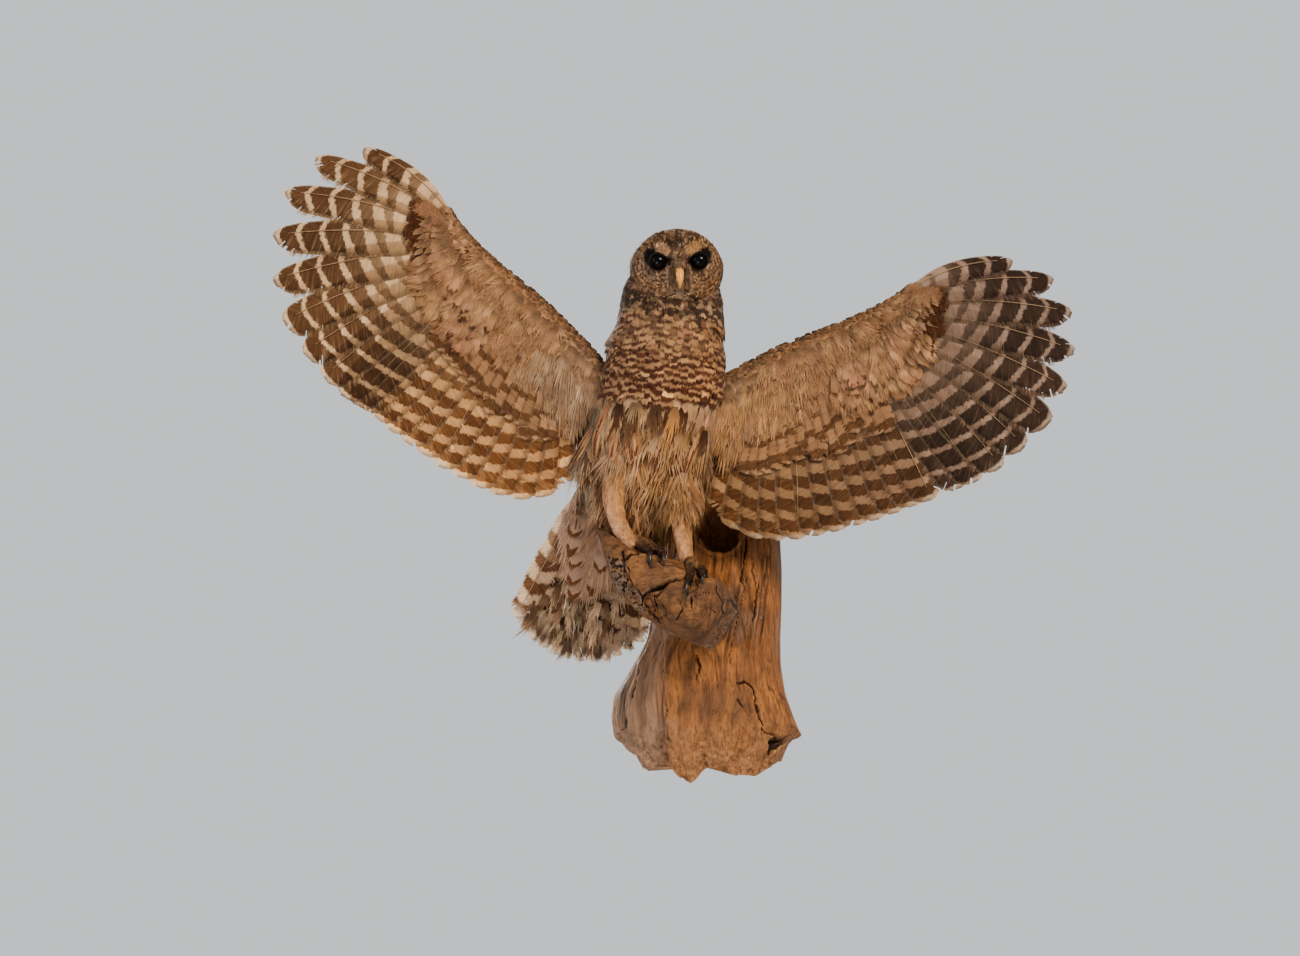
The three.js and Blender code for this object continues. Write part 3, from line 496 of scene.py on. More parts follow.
class Coat:
    """Feathers gathered into one piece. uv is each root's place on the unwrapped skin."""

    patch = 0.003  # side of a tuft's place in the map OFBake

    def __init__(self):
        self.verts, self.tris, self.count = [], [], 0
        self.data = {k: [] for k in ("ground", "mark", "pattern", "layout", "size", "form")}
        self.vane, self.bake = [], []
        self.roots, self.shades = [], []

    def push(self, verts, tris, vane, bake, data):
        self.verts.append(verts)
        self.tris.append(tris + self.count)
        self.count += len(verts)
        self.vane.append(vane)
        self.bake.append(bake)
        for key, value in data.items():
            self.data[key].append(value)

    def add(self, root, along, normal, length, width, ground, mark, uv, kind="body", pattern=(0, 0, 0),
            layout=(0, 0, 2), form=(0, 0, 0), rise=0.12, bend=0.1, cup=0.16, hook=0.0, jitter=0.08,
            lift=0.0):
        """Lay a feather on each root. A pair for length, width or lift is a range, a pair for
        hook is a mean and a spread, and (colour, spread) makes each feather's own shade."""
        n = len(root)
        if not n:
            return
        length, width = drawn(length, n), drawn(width, n)
        ground, mark = shade(ground, n), shade(mark, n)
        hook = rng.normal(*hook, n) if isinstance(hook, tuple) else hook
        lift = drawn(lift, n)
        u, v, w, loose, tris = TEMPLATES[kind]
        k = len(u)

        def full(value, size=None):
            value = np.asarray(value, float)
            return np.broadcast_to(value, (n, size) if size else (n,)).copy()

        length, width, rise, bend, cup, hook, lift = (full(x) for x in (length, width, rise, bend, cup,
            hook, lift))
        normal = full(unit(np.asarray(normal)), 3)
        along = unit(along - np.sum(along * normal, -1, keepdims=True) * normal)
        across = np.cross(along, normal)
        vv = v[None] * (1 + loose * rng.normal(0, jitter, (n, k)))
        uu = u[None] * w[None] + loose * rng.normal(0, jitter * 0.5, (n, k))
        x = uu * width[:, None] / 2 + hook[:, None] * length[:, None] * vv**2
        y = vv * length[:, None]
        z = lift[:, None] + length[:, None] * (rise[:, None] * vv - bend[:, None] * vv**2)
        z -= cup[:, None] * (width[:, None] / 2) * (u[None] * w[None]) ** 2 * np.clip(vv * 2, 0.3, 1)
        verts = root[:, None] + x[..., None] * across[:, None] + y[..., None] * along[:, None] + z[...,
            None] * normal[:, None]
        index = (tris[None] + (np.arange(n) * k)[:, None, None]).reshape(-1, 3)
        vane = np.broadcast_to(cols(np.clip(u, -1, 1) / 2 + 0.5, v), (n, k, 2)).reshape(-1, 2)
        uv = np.clip(full(uv, 2), self.patch, 1 - self.patch)
        bake = (uv[:, None] + (vane.reshape(n, k, 2) - 0.5) * self.patch).reshape(-1, 2)
        seed = rng.random(n)
        size = cols(length, width, seed)
        per = {"ground": full(ground, 3), "mark": full(mark, 3), "pattern": full(pattern, 3),
            "layout": full(layout, 3), "size": size, "form": full(form, 3)}
        self.push(verts.reshape(-1, 3), index, vane, bake, {key: np.repeat(value, k, 0) for key,
            value in per.items()})
        share = np.clip(np.minimum(per["pattern"][:, :1], 1) * per["pattern"][:, 1:2]
            + per["layout"][:, :1] * 0.6, 0, 0.8)
        self.roots.append(root)
        self.shades.append(per["ground"] * (1 - share) + per["mark"] * share)

    def build(self, name, material, slot, place, *nodes):
        verts = place(np.concatenate(self.verts))
        data = {key: np.concatenate(value) for key, value in self.data.items()}
        uvs = {"vane": np.concatenate(self.vane), "OFBake": np.concatenate(self.bake)}
        me = new_mesh(name, verts, np.concatenate(self.tris), uvs, data)
        return piece(name, me, material, slot, *nodes)


# ------------------------------------------------------------------ the body's surface (bird frame)

BODY = [  # height, x, y, half width, front reach, back reach
    (110, 1, 4, 44, 12, 40), (98, 1, 2, 53, 22, 44), (84, 1, 2, 61, 30, 46), (70, 1.5, 2, 65, 40, 48),
    (52, 3.5, 0, 68, 48, 47), (34, 4, 0, 69, 53, 48), (12, 4, 0, 75, 60, 52), (-20, 6, 0, 77, 64, 56),
    (-58, 5, 2, 76, 64, 56), (-96, 2, 5, 78, 60, 52), (-128, -2, 10, 84, 52, 44),
    (-156, -4, 16, 75, 44, 37), (-182, 0, 22, 62, 33, 30), (-206, 4, 27, 46, 22, 22),
    (-224, 4, 31, 27, 11, 13), (-231, 4, 33, 11, 5, 6),
]
SKIN_DEPTH = 6.5
RUMP = [  # height, x, y, half width, front reach, back reach
    (-140, -32, 26, 32, 22, 16), (-150, -34, 28, 33, 21, 15), (-185, -38, 33, 42, 18, 13),
    (-208, -39, 36, 44, 11, 8), (-230, -39, 40, 44, 3.5, 3),
]


def level_of(table, z, blur):
    """x, y, half width, front reach and back reach at a height."""
    return np.moveaxis(smooth_table([r[0] for r in table], [r[1:] for r in table], z, blur), -1, 0)


def body_point(z, a):
    x, y, w, front, back = level_of(BODY, z, 7.0)
    c, s = np.cos(a), np.sin(a)
    inset = np.minimum(SKIN_DEPTH, w * 0.45)
    reach = np.where(s < 0, front, back) - np.minimum(inset, np.where(s < 0, front, back) * 0.5)
    return cols(x + (w - inset) * c, y + reach * s, z)


def on_body(z, a):
    """Points on the skin with their outward normals and the way down."""
    da, dz = 0.01, 0.6
    ta = (body_point(z, a + da) - body_point(z, a - da)) / (2 * da)
    tz = (body_point(z + dz, a) - body_point(z - dz, a)) / (2 * dz)
    return body_point(z, a), unit(np.cross(ta, tz)), -unit(tz)


# ------------------------------------------------------------------ the head's surface (head frame)

DISC = dict(x=27.0, z=1.0, rx=26.0, rz=34.0)
# The black round each eye, as (outward, up) from the eye's middle: its point aims at the bill.
MASK = [(-16.5, 2.5), (-11, 5), (-5, 8.6), (1, 11.8), (6, 14), (11, 14.5), (14, 10), (13, 0), (9, -8),
    (3, -12), (-4, -12), (-10, -8.5), (-14, -3)]
EYE = np.array([24.5, -33.0, 6.5])
EYE_RADIUS = 10.9
HEAD_CENTRE = np.array([0, -52, 4])  # where the crown's feathers point away from


def head_uv(p):
    """Turn round the head and down it, from 0 to 1."""
    across, deep, high = p[:, 0] / 57, p[:, 1] / 48, p[:, 2] / 50
    round_it = np.arctan2(deep, across) / TAU
    down_it = np.arctan2(np.hypot(across, deep), high) / math.pi
    return cols((round_it + 0.25) % 1 * 0.98 + 0.01, down_it * 0.98 + 0.01)


def disc_at(x, z):
    return np.hypot((np.abs(x) - DISC["x"]) / DISC["rx"], (z - DISC["z"]) / DISC["rz"])


def head_point(theta, phi):
    """The skin of the head: theta down from the crown, phi round it from its left."""
    c, s = np.cos(theta), np.sin(theta)
    x = 54 * s * np.cos(phi)
    z = np.where(c > 0, 48, 54) * c * 0.94
    across = np.sin(phi)
    reach = np.where(across < 0, 44 * s**0.6, 47 * s)
    r = disc_at(x, z)
    relief = np.where(r < 1, -6.2 * (1 - np.clip(r, 0, 1) ** 3),
        0) + 2.2 * np.exp(-(((r - 1.08) * 26) ** 2) / 56)
    relief = np.where(across < 0, relief * np.minimum(1, -across * 1.6), 0)
    return cols(x, reach * across - relief, z)


# ------------------------------------------------------------------ the wing's surface (bird frame)

WING_ROOT = np.array([88.0, 8.0, 0.0])
RAISE = math.radians(32.6)
OUTWARD = np.array([math.cos(RAISE), 0, math.sin(RAISE)])
REARWARD = np.array([math.sin(RAISE), 0, -math.cos(RAISE)])
STATIONS = np.array([  # s, leading edge, trailing edge of the flesh, half thickness
    (-52, 8, 76, 15), (-18, 3, 84, 13), (20, 0, 88, 11), (58, -2, 86, 9.5), (96, -1, 78, 8.5),
    (132, 1, 68, 7.5), (167, 2, 54, 6.5), (198, 1, 36, 5), (226, -3, 14, 3)])
FANS = {1: (79, 74, 1.41), -1: (86, 84.5, 1.6)}
VANE_SHAPE = ((0, 0.16), (0.32, 0.9), (0.66, 1), (0.91, 0.96), (1, 0.7))
FINGER_SHAPE = ((0, 0.16), (0.32, 1), (0.56, 1.1), (0.78, 0.94), (0.9, 0.84), (1, 0.42))


def wing_point(s, t, n, mirror):
    s, t, n = np.broadcast_arrays(s, t, n)
    sweep = np.where(s > 0, s * s / 780, 0)
    share = np.clip(t / 230, 0, 1)
    p = WING_ROOT + s[..., None] * OUTWARD + t[..., None] * REARWARD
    p[..., 1] -= sweep - 36 * share * (1 - share) + n
    p[..., 0] *= mirror
    return p


def flesh(s):
    """Leading edge, trailing edge and half thickness of the wing's flesh."""
    return smooth_table(STATIONS[:, 0], STATIONS[:, 1:], s, 10.0).T


def flesh_height(share):
    return np.interp(share, [0, 0.05, 0.2, 0.5, 0.8, 1], [0.2, 0.72, 1, 0.62, 0.3, 0.14])


def flow_angle(s, mirror):
    """The way that feathers point on the wing, in degrees from its leading edge."""
    inner, sweep, power = FANS[mirror]
    q = np.clip((137 - s) / 129, 0, 1)
    arm = 86 + 43 * q**1.3
    q = np.clip((s - 146) / 58, 0, 1.25)
    return mix(arm, inner - sweep * q**power, ramp(128, 152, s))


def on_wing(s, share, face, mirror, sink=0.0):
    """Points on the wing's flesh with their outward normals and the way that feathers lie."""
    lead, back, half = flesh(s)
    t = mix(lead, back, share)
    n = face * (flesh_height(share) * half - sink)
    p = wing_point(s, t, n, mirror)
    e = 0.8
    ds = wing_point(s + e, t, n, mirror) - p
    dt = wing_point(s, t + e, n, mirror) - p
    normal = unit(np.cross(ds, dt))
    normal *= np.sign(normal[..., 1:2]) * -face
    angle = np.radians(flow_angle(s, mirror))
    along = np.cos(angle)[..., None] * unit(ds) + np.sin(angle)[..., None] * unit(dt)
    return p, normal, along


def inside_body(p, margin=0.0):
    """Which points lie within the body, by more than the margin. Roots there are left out."""
    x, y, w, front, back = level_of(BODY, p[:, 2], 7.0)
    dy = p[:, 1] - y
    reach = np.where(dy < 0, front, back)
    r = np.hypot((p[:, 0] - x) / (w - margin), dy / (reach - margin))
    return (r < 1) & (p[:, 2] < 80) & (p[:, 2] > -228)


# ------------------------------------------------------------------ body feathers


def by_height(collar, breast, belly):
    return lambda z: collar if z > 52 else breast if z > -50 else belly


def body_rows(top, bottom, spacing, width):
    """Staggered rows of roots down the body: heights and turns."""
    zs, turns = [], []
    z, odd = top, 0
    while z > bottom:
        half_width = level_of(BODY, np.array([z]), 7.0)[2, 0]
        count = max(6, int(half_width * TAU / width(z)))
        a = (np.arange(count) + 0.5 * odd + rng.uniform(-0.28, 0.28, count)) / count * TAU
        zs.append(z + rng.normal(0, spacing(z) * 0.2, count))
        turns.append(a)
        z -= spacing(z)
        odd = 1 - odd
    return np.concatenate(zs), np.concatenate(turns) % TAU


def wing_uv(s, share):
    return cols((s + 60) / 300, share)


def body_uv(z, a):
    return cols((a / TAU + 0.25) % 1 * 0.98 + 0.01, (z + 240) / 340)


def body_coat():
    coat = Coat()
    z, a = body_rows(104, -228, by_height(4.6, 9.0, 8.0), by_height(5.0, 9.5, 7.5))
    z += 3.2 * np.sin(3 * a + z * 0.05) + 2.0 * np.sin(7 * a + 1)
    front = -np.sin(a)
    p, n, down = on_body(z, a)
    down = down + rng.normal(0, 0.12, (len(z), 3))
    edge = -43 + 19 * np.clip(np.cos(a), 0, 1) ** 1.5 + 3 * np.clip(-np.cos(a), 0, 1)
    edge = edge + rng.normal(0, 2.5, len(z))
    collar = 52 + rng.normal(0, 5, len(z))
    uv = body_uv(z, a)
    # Painted warm light: on the side that faces the warm key light the breast feathers are mixed towards
    # orange.
    painted_warm_light = ramp(-0.5, 0.9, np.cos(a))

    # Throat and collar: small mottled feathers, paler and greyer under the chin.
    m = z > collar
    k = m.sum()
    # Painted warm light: the fur on the side of each leg that faces the warm key light is painted orange,
    # and the other side white.
    chin = ramp(0.2, 0.6, front[m])
    tone = mix(vary(mix(WARM, CREAM, 0.25) * 0.66, k, 0.3), vary(mix(BROWN, DARK, 0.7), k, 0.2),
        rng.random(k) < 0.6)
    # The lowest part of the face lies on them, then a dark broken arc under each disc.
    cheek = ramp(78, 84, z[m]) * chin
    tone = mix(tone, mix(mix(GREY, ROSE, 0.4), mix(WARM, BUFF, 0.3), rng.random(k)) * 0.62, cheek * 0.8)
    under_disc = np.exp(-(((z[m] - 60 - 0.0065 * p[m, 0] ** 2) / 3.5) ** 2))
    under_disc = under_disc * ramp(12, 22, np.abs(p[m, 0])) * chin
    tone = mix(tone, DARK * 0.5, under_disc * 0.8 * (rng.random(k) < 0.75))
    coat.add(p[m], down[m], n[m], rng.uniform(13, 18, k), rng.uniform(7, 9.5, k), tone,
        (mix(DARK, mix(WARM, CREAM, 0.4), rng.random(k) < 0.2), 0.1), uv[m], "small",
        pattern=(1.5, 0.42, 0.3), form=(-0.1, 0.1, 0.3), rise=0.26, bend=0.16)
    # Bib and hind neck: dark feathers, each crossed and edged with buff, in wavy scallops.
    m = (z <= collar) & (z > edge) & (front > -0.35)
    k = m.sum()
    pale = vary(mix(mix(BUFF, ROSE, 0.35), ORANGE, painted_warm_light[m] * 0.4) * 0.72, k, 0.24)
    greyer = ramp(0.5, 1.0, front[m]) * ramp(0, 60, z[m]) * 0.4
    dark = mix(mix(DARK, rgb(98, 56, 34), 0.6), mix(GREY, BROWN, 0.7), greyer)
    last = ramp(24, 6, z[m] - edge[m])
    # The upper breast is blotched and soft; the last rows are larger, redder and rounder.
    breast = ramp(4, 30, z[m]) * ramp(0.2, 0.8, front[m])
    blotched = mix(mix(mix(BUFF, ROSE, 0.4), ORANGE, painted_warm_light[m] * 0.4) * 0.66, UMBER,
        (rng.random(k) < 0.38) * 0.8)
    pale = mix(pale, vary(blotched, k, 0.2), breast * 0.9)
    dark = mix(dark, rgb(84, 44, 26), last * 0.7)
    duty = mix(rng.uniform(0.5, 0.62, k), rng.uniform(0.3, 0.6, k), breast)
    coat.add(p[m], down[m], n[m], rng.uniform(20, 26, k) * (1 + 0.2 * last) * (1 - 0.2 * breast),
        rng.uniform(15, 20, k) * (1 + 0.15 * last) * (1 - 0.35 * breast), pale, vary(dark, k, 0.2), uv[m],
        "scallop", pattern=cols(mix(rng.uniform(2.2, 2.6, k), 1.8, breast), duty, duty),
        form=(-0.25, 0.0, 0.45), rise=mix(0.24, 0.32, last), bend=0.16, cup=0.3, hook=(0, 0.08),
        jitter=0.07)
    # Belly: long soft buff feathers, some with a dark streak down the shaft.
    m = (z <= edge) & (front > -0.25)
    k = m.sum()
    zz, aa = z[m], a[m]
    flank = ramp(0.35, 0.95, np.abs(np.cos(aa))) * ramp(-60, -110, zz) * (np.cos(aa) < 0)
    pale = mix(mix(BUFF, ROSE, 0.2 + 0.5 * rng.random(k)),
        mix(PEARL, CREAM, 0.4 + 0.6 * rng.random(k)),
        np.clip(flank * 0.8 + 0.18 + 0.2 * rng.normal(size=k), 0, 1))
    # Painted warm light: the belly on the side that faces the warm key light is mixed towards orange.
    pale = mix(pale, ORANGE * 1.1, 0.5 * ramp(-0.1, 0.7, np.cos(aa)) * ramp(-40, -120, zz))
    streaked = rng.random(k) < 0.2
    slant = rng.normal(-0.03, 0.1, k)
    coat.add(p[m], down[m], n[m], rng.uniform(38, 54, k) * (1 - 0.3 * ramp(-190, -226, zz)),
        rng.uniform(11, 15, k), vary(pale * 0.88, k, 0.16), vary(mix(DARK, rgb(88, 48, 26), 0.5), k, 0.2),
        uv[m], "soft", layout=cols(np.where(streaked, rng.uniform(0.2, 0.32, k), 0), 0.3, 2.0),
        form=(0, 0.15, 0), rise=0.15, bend=0.09, hook=slant, jitter=0.14)
    # Back: dark brown feathers barred and tipped with buff white.
    m = (z <= collar) & ((front <= -0.35) | ((z <= edge) & (front <= -0.25)))
    k = m.sum()
    coat.add(p[m], down[m], n[m], (27, 33), (19, 24), (UMBER, 0.16),
        (IVORY, 0.1), uv[m], "body", pattern=(2.0, 0.34, 0.3), form=(-0.12, 0.1, 0.1),
        rise=0.15, bend=0.12, cup=0.2)
    # Rump: the same feathers where the back runs out on to the tail.
    along, a = np.meshgrid(np.arange(0.0, 86.0, 7.5), np.linspace(-0.6, math.pi + 0.6, 13), indexing="ij")
    along, a = along.ravel() + rng.normal(0, 1.2, along.size), a.ravel() + rng.normal(0, 0.05, a.size)
    rump_x, rump_y, wide, _, back_reach = level_of(RUMP, -142 - along, 3.0)
    out = cols(np.cos(a), np.sin(a), 0)
    p = cols(rump_x + wide * out[:, 0], rump_y + back_reach * out[:, 1], -142 - along)
    k = len(a)
    coat.add(p, rng.normal(0, 0.1, (k, 3)) + [-0.1, 0.1, -1.0], out, (27, 35), (17, 22),
        (UMBER, 0.16), (IVORY, 0.1),
        cols(a / TAU * 0.5 + 0.25, 0.3 - along / 500), "body", pattern=(2.0, 0.34, 0.3),
        form=(-0.12, 0.1, 0.1), rise=0.14, bend=0.1, cup=0.2)
    # Dark streaks: long narrow feathers that lie over the belly.
    k = 46
    z = rng.uniform(-165, -66, k)
    a = rng.uniform(1.12 * math.pi, 1.92 * math.pi, k)
    p, n, down = on_body(z, a)
    pale = mix(BUFF, mix(ROSE, ORANGE, 0.5), rng.random(k))
    coat.add(p, down + rng.normal(0, 0.14, (k, 3)), n,
        rng.uniform(44, 74, k) * (1 - 0.45 * ramp(-150, -205, z)), rng.uniform(10, 15, k),
        vary(pale, k, 0.1), vary(mix(DARK, rgb(108, 68, 44), 0.85), k, 0.18), body_uv(z, a), "streak",
        layout=cols(rng.uniform(0.34, 0.6, k), rng.uniform(0.1, 0.3, k), 2.0), form=(0, 0.1, 0),
        rise=0.16, bend=0.08, lift=3.5, hook=(-0.05, 0.08), jitter=0.1)
    return coat


def body_down():
    """Loose down on the flanks, and the fluff of the vent that hangs between the legs."""
    coat = Coat()
    z, a = body_rows(-70, -230, lambda z: 6.0, lambda z: 6.0)
    side, behind = np.cos(a), np.sin(a)
    keep = ((np.abs(side) > 0.55) & (behind < 0.2)) | ((z < -178) & (behind < 0.4))
    keep |= (behind < 0) & (rng.random(len(z)) < 0.5)
    keep &= rng.random(len(z)) < 0.85
    z, a, side = z[keep], a[keep], side[keep]
    p, n, down = on_body(z, a)
    k = len(z)
    left = side < -0.45
    out = cols(np.sign(side), -0.1, 0)
    flare = np.where(left, 0.32, 0.1) * ramp(-70, -120, z) * ramp(-226, -170, z)
    along = down + out * flare[:, None] + rng.normal(0, 0.18, (k, 3))
    pale = mix(mix(PEARL, CREAM, 0.8 * rng.random(k)), mix(BUFF, WARM, 0.4),
        rng.random(k) * 0.6)
    # Painted warm light: down on the key light's side is mixed far towards orange; on the window's side
    # only the lowest down is.
    pale = mix(pale, mix(mix(BUFF, ORANGE, 0.4), WARM, rng.random(k) * 0.7),
        np.where(left, ramp(-165, -215, z) * 0.6, 0.75))
    # Painted light: the low fluff between the legs is painted up to a quarter brighter, where the belly
    # above shades it.
    pale = pale * mix(0.86, 1.25, ramp(-165, -195, z))[:, None]
    coat.add(p, along, n, rng.uniform(36, 56, k) * (1 - 0.3 * ramp(-190, -226, z)), (14, 21),
        (pale, 0.14), (BROWN, 0.1), body_uv(z, a), "down", form=(0, 0.15, 0.1), rise=0.2, bend=0.11,
        hook=(0, 0.12), jitter=0.14)
    # The fluff between the legs, and the belly's long ends that hang over their tops.
    hanging = (
        (360, -112, -178, 1.3, 1.72, (50, 72)),
        (120, -112, -140, 1.15, 1.5, (36, 50)),
        (90, -60, -130, 1.2, 1.85, (34, 56)),
        (150, -128, -172, 1.6, 1.82, (44, 62)),
    )
    for k, top, bottom, first, last, long in hanging:
        z, a = rng.uniform(bottom, top, k), rng.uniform(first * math.pi, last * math.pi, k)
        p, n, _ = on_body(z, a)
        n = unit(n * [1, 1, 0.15])
        # Painted warm light: the fluff is mixed towards orange on the side that faces the warm key light.
        pale = mix(mix(BLUSH, CREAM, 0.1 + 0.5 * rng.random(k)),
            mix(BUFF, mix(ORANGE, WARM, 0.3), rng.random(k)),
            np.clip(0.45 + 0.6 * np.cos(a) + 0.25 * rng.normal(size=k), 0, 1))
        # About a third of the fluff is painted dark, a painted shade for the deep gaps between the tufts.
        dark = rng.random(k) < 0.32
        pale = mix(vary(pale * 0.95, k, 0.22, 0.015), vary(mix(DARK, rgb(100, 62, 40), 0.8), k, 0.2),
            dark * 0.88)
        coat.add(p, rng.normal(0, 0.15, (k, 3)) + [0.0, 0.0, -1.0], n, long, (15, 22), pale, (BROWN, 0.1),
            body_uv(z, a), "down", form=(0, 0.15, 0.1), rise=0.14, bend=0.14, hook=(0, 0.1), jitter=0.14,
            lift=(0, 5))
    return coat


# ------------------------------------------------------------------ head feathers


def head_coat():
    coat, face = Coat(), Coat()
    count = 9000
    i = np.arange(count) + 0.5
    theta = np.arccos(1 - 2 * i / count)
    phi = (i * math.pi * (1 + 5**0.5)) % TAU
    keep = (np.sin(phi) < 0) | (rng.random(count) < 0.55)
    theta, phi = np.clip(theta[keep], 0.05, math.pi - 0.05), phi[keep]
    p = head_point(theta, phi)
    e = 0.02
    tt = head_point(np.clip(theta + e, 0, math.pi), phi) - head_point(theta - e, phi)
    tp = head_point(theta, phi + e) - head_point(theta, phi - e)
    n = unit(np.cross(tt, tp))
    n *= np.sign(np.sum(n * p, -1, keepdims=True))
    in_front = np.sin(phi) < 0
    x, _, z = p.T
    side = np.sign(x)
    r = disc_at(x, z)
    u = np.abs(x) - EYE[0]
    w = z - EYE[2]
    gap = np.hypot(u, w)
    bird_p = head_to_bird(p)
    hidden = inside_body(bird_p, 4.0) & (bird_p[:, 2] < 80)
    on_bill = (np.abs(x) < 5.5) & (z < 3) & (z > -27) & in_front
    uv = head_uv(p)
    ok = ~hidden & ~on_bill

    # Facial discs: fine stiff feathers that radiate from each eye. A dark corner points from
    # the eye to the bill, and a pale brow lies over it.
    disc = ok & in_front & (r < 1.02) & (gap > 11.8)
    k = disc.sum()
    g, ud, wd = gap[disc], u[disc], w[disc]
    out = cols(side[disc] * ud, -0.15 * g, wd - 0.1 * g)
    dark = ramp(1.4, -0.6, outline_distance(ud, wd, MASK) + rng.normal(0, 0.5, k))
    slant = math.radians(25)
    brow_u = (ud + 6) * math.cos(slant) + (wd - 14) * math.sin(slant)
    brow_w = (wd - 14) * math.cos(slant) - (ud + 6) * math.sin(slant)
    brow = ramp(1.2, 0.75, np.hypot(brow_u / 10, brow_w / 5.2)) * (1 - dark)
    lore = ramp(-6, -12, ud) * ramp(-4, -9, wd)
    # Painted light: on the side that faces the warm key light, the discs and brows are painted buffer and
    # warmer, and scaled darker.
    painted_lit_side = ramp(-25, 25, x[disc])
    base = mix(mix(mix(GREY, ROSE, 0.35), BUFF, 0.6 * painted_lit_side), mix(WARM, BUFF, 0.3),
        np.clip(ramp(12, 30, g) + 0.4 * rng.normal(size=k), 0, 1)) * mix(0.86, 0.72, painted_lit_side)[:, None]
    base = mix(base, mix(DARK, BROWN, 0.5), (rng.random(k) < 0.3) * 0.7)
    base = mix(base, mix(mix(ROSE, CREAM, 0.3), mix(BUFF, ORANGE, 0.4), painted_lit_side) * 0.85,
        brow * mix(0.9, 0.8, painted_lit_side))
    over = ramp(8, 16, wd) * (1 - brow) * (1 - dark)
    base = mix(base, mix(mix(DARK, BROWN, 0.3), BUFF * 0.8, rng.random(k) < 0.24), over * 0.9)
    base = mix(base, STONE, lore * 0.5)
    base = mix(base, DARK * 0.1, dark)
    rings = (1 - dark) * (1 - 0.85 * brow) * (1 - 0.4 * lore) * ramp(16, 4, wd)
    size = mix(3.8, 8.0, ramp(12, 26, g)) * (1 + 0.35 * lore)
    face.add(p[disc], out, n[disc], size * rng.uniform(0.85, 1.15, k), mix(2.2, 3.2, ramp(12, 26, g)),
        (base, 0.3), (mix(DARK, BROWN, 0.25), 0.1), uv[disc], "fur", pattern=cols(0, 0, rings),
        rise=mix(0.5, 0.3, ramp(12, 20, g)), bend=0.2, cup=0.1, jitter=0.1)
    # Small feathers round the eye that lie in over the edge of its lids.
    k = 110
    around = np.arange(k) / k * math.pi
    turn_at = np.concatenate([around * 2, around * 2])
    k *= 2
    sides = np.repeat([-1.0, 1.0], k // 2)
    c, sn = np.cos(turn_at), np.sin(turn_at)
    root = EYE + cols(11.4 * c, -1.5, 11.4 * sn)
    is_dark = (1 - 0.4 * ramp(0.6, 1.0, -sn)) * (1 - 0.9 * ramp(0.05, 0.3, -c) * ramp(0.5, 0.75, sn))
    root[:, 0] *= sides
    inward = cols(-0.42 * c * sides, -0.9, -0.42 * sn)
    face.add(root, inward, cols(c * sides, -0.4, sn), (6.0, 7.6), (2.4, 3.2),
        (mix(mix(WARM, GREY, 0.4) * mix(0.5, 0.9, ramp(0, 0.4, sn))[:, None], DARK * 0.1, is_dark), 0.25),
        (DARK, 0.1), head_uv(root), "fur", pattern=(0, 0, 0.3), rise=0.1, bend=0.22, jitter=0.08)
    # The ruff: a dark broken rim of short crisp feathers round the discs.
    rim = ok & in_front & (r >= 1.0) & (r < 1.2) & (np.abs(x) > 9)
    k = rim.sum()
    out = unit(cols(side[rim] * u[rim], 14, w[rim]))
    low = ramp(6, -18, z[rim])
    tone = mix(mix(BROWN, WARM, 0.3) * 0.9, DARK * 0.6,
        np.clip(0.35 + 0.6 * low + 0.35 * rng.normal(size=k), 0, 1))
    coat.add(p[rim], out, n[rim], (8, 12), (5, 7), (tone, 0.2), (STRAW, 0.1), uv[rim],
        "small", pattern=(1.6, 0.3, 0.3), rise=0.42, bend=0.28, cup=0.2)
    # Chin and throat.
    chin = ok & in_front & (((np.abs(x) <= 9) & (z < -2)) | (z < -34)) & ~disc & ~rim
    k = chin.sum()
    out = cols(x[chin] * 0.6, -2.0, -10.0)
    spot = (np.hypot(x[chin] + 2, (z[chin] + 40) * 0.8) < 8) & (rng.random(k) < 0.8)
    tone = mix(mix(STONE, BROWN, rng.random(k) * 0.6), DARK * 0.6, spot)
    coat.add(p[chin], out, n[chin], (11, 17), (4, 6), (tone, 0.15), (DARK, 0.1), uv[chin], "fur",
        pattern=(1.5, 0.3, 0.25), rise=0.3, bend=0.16)
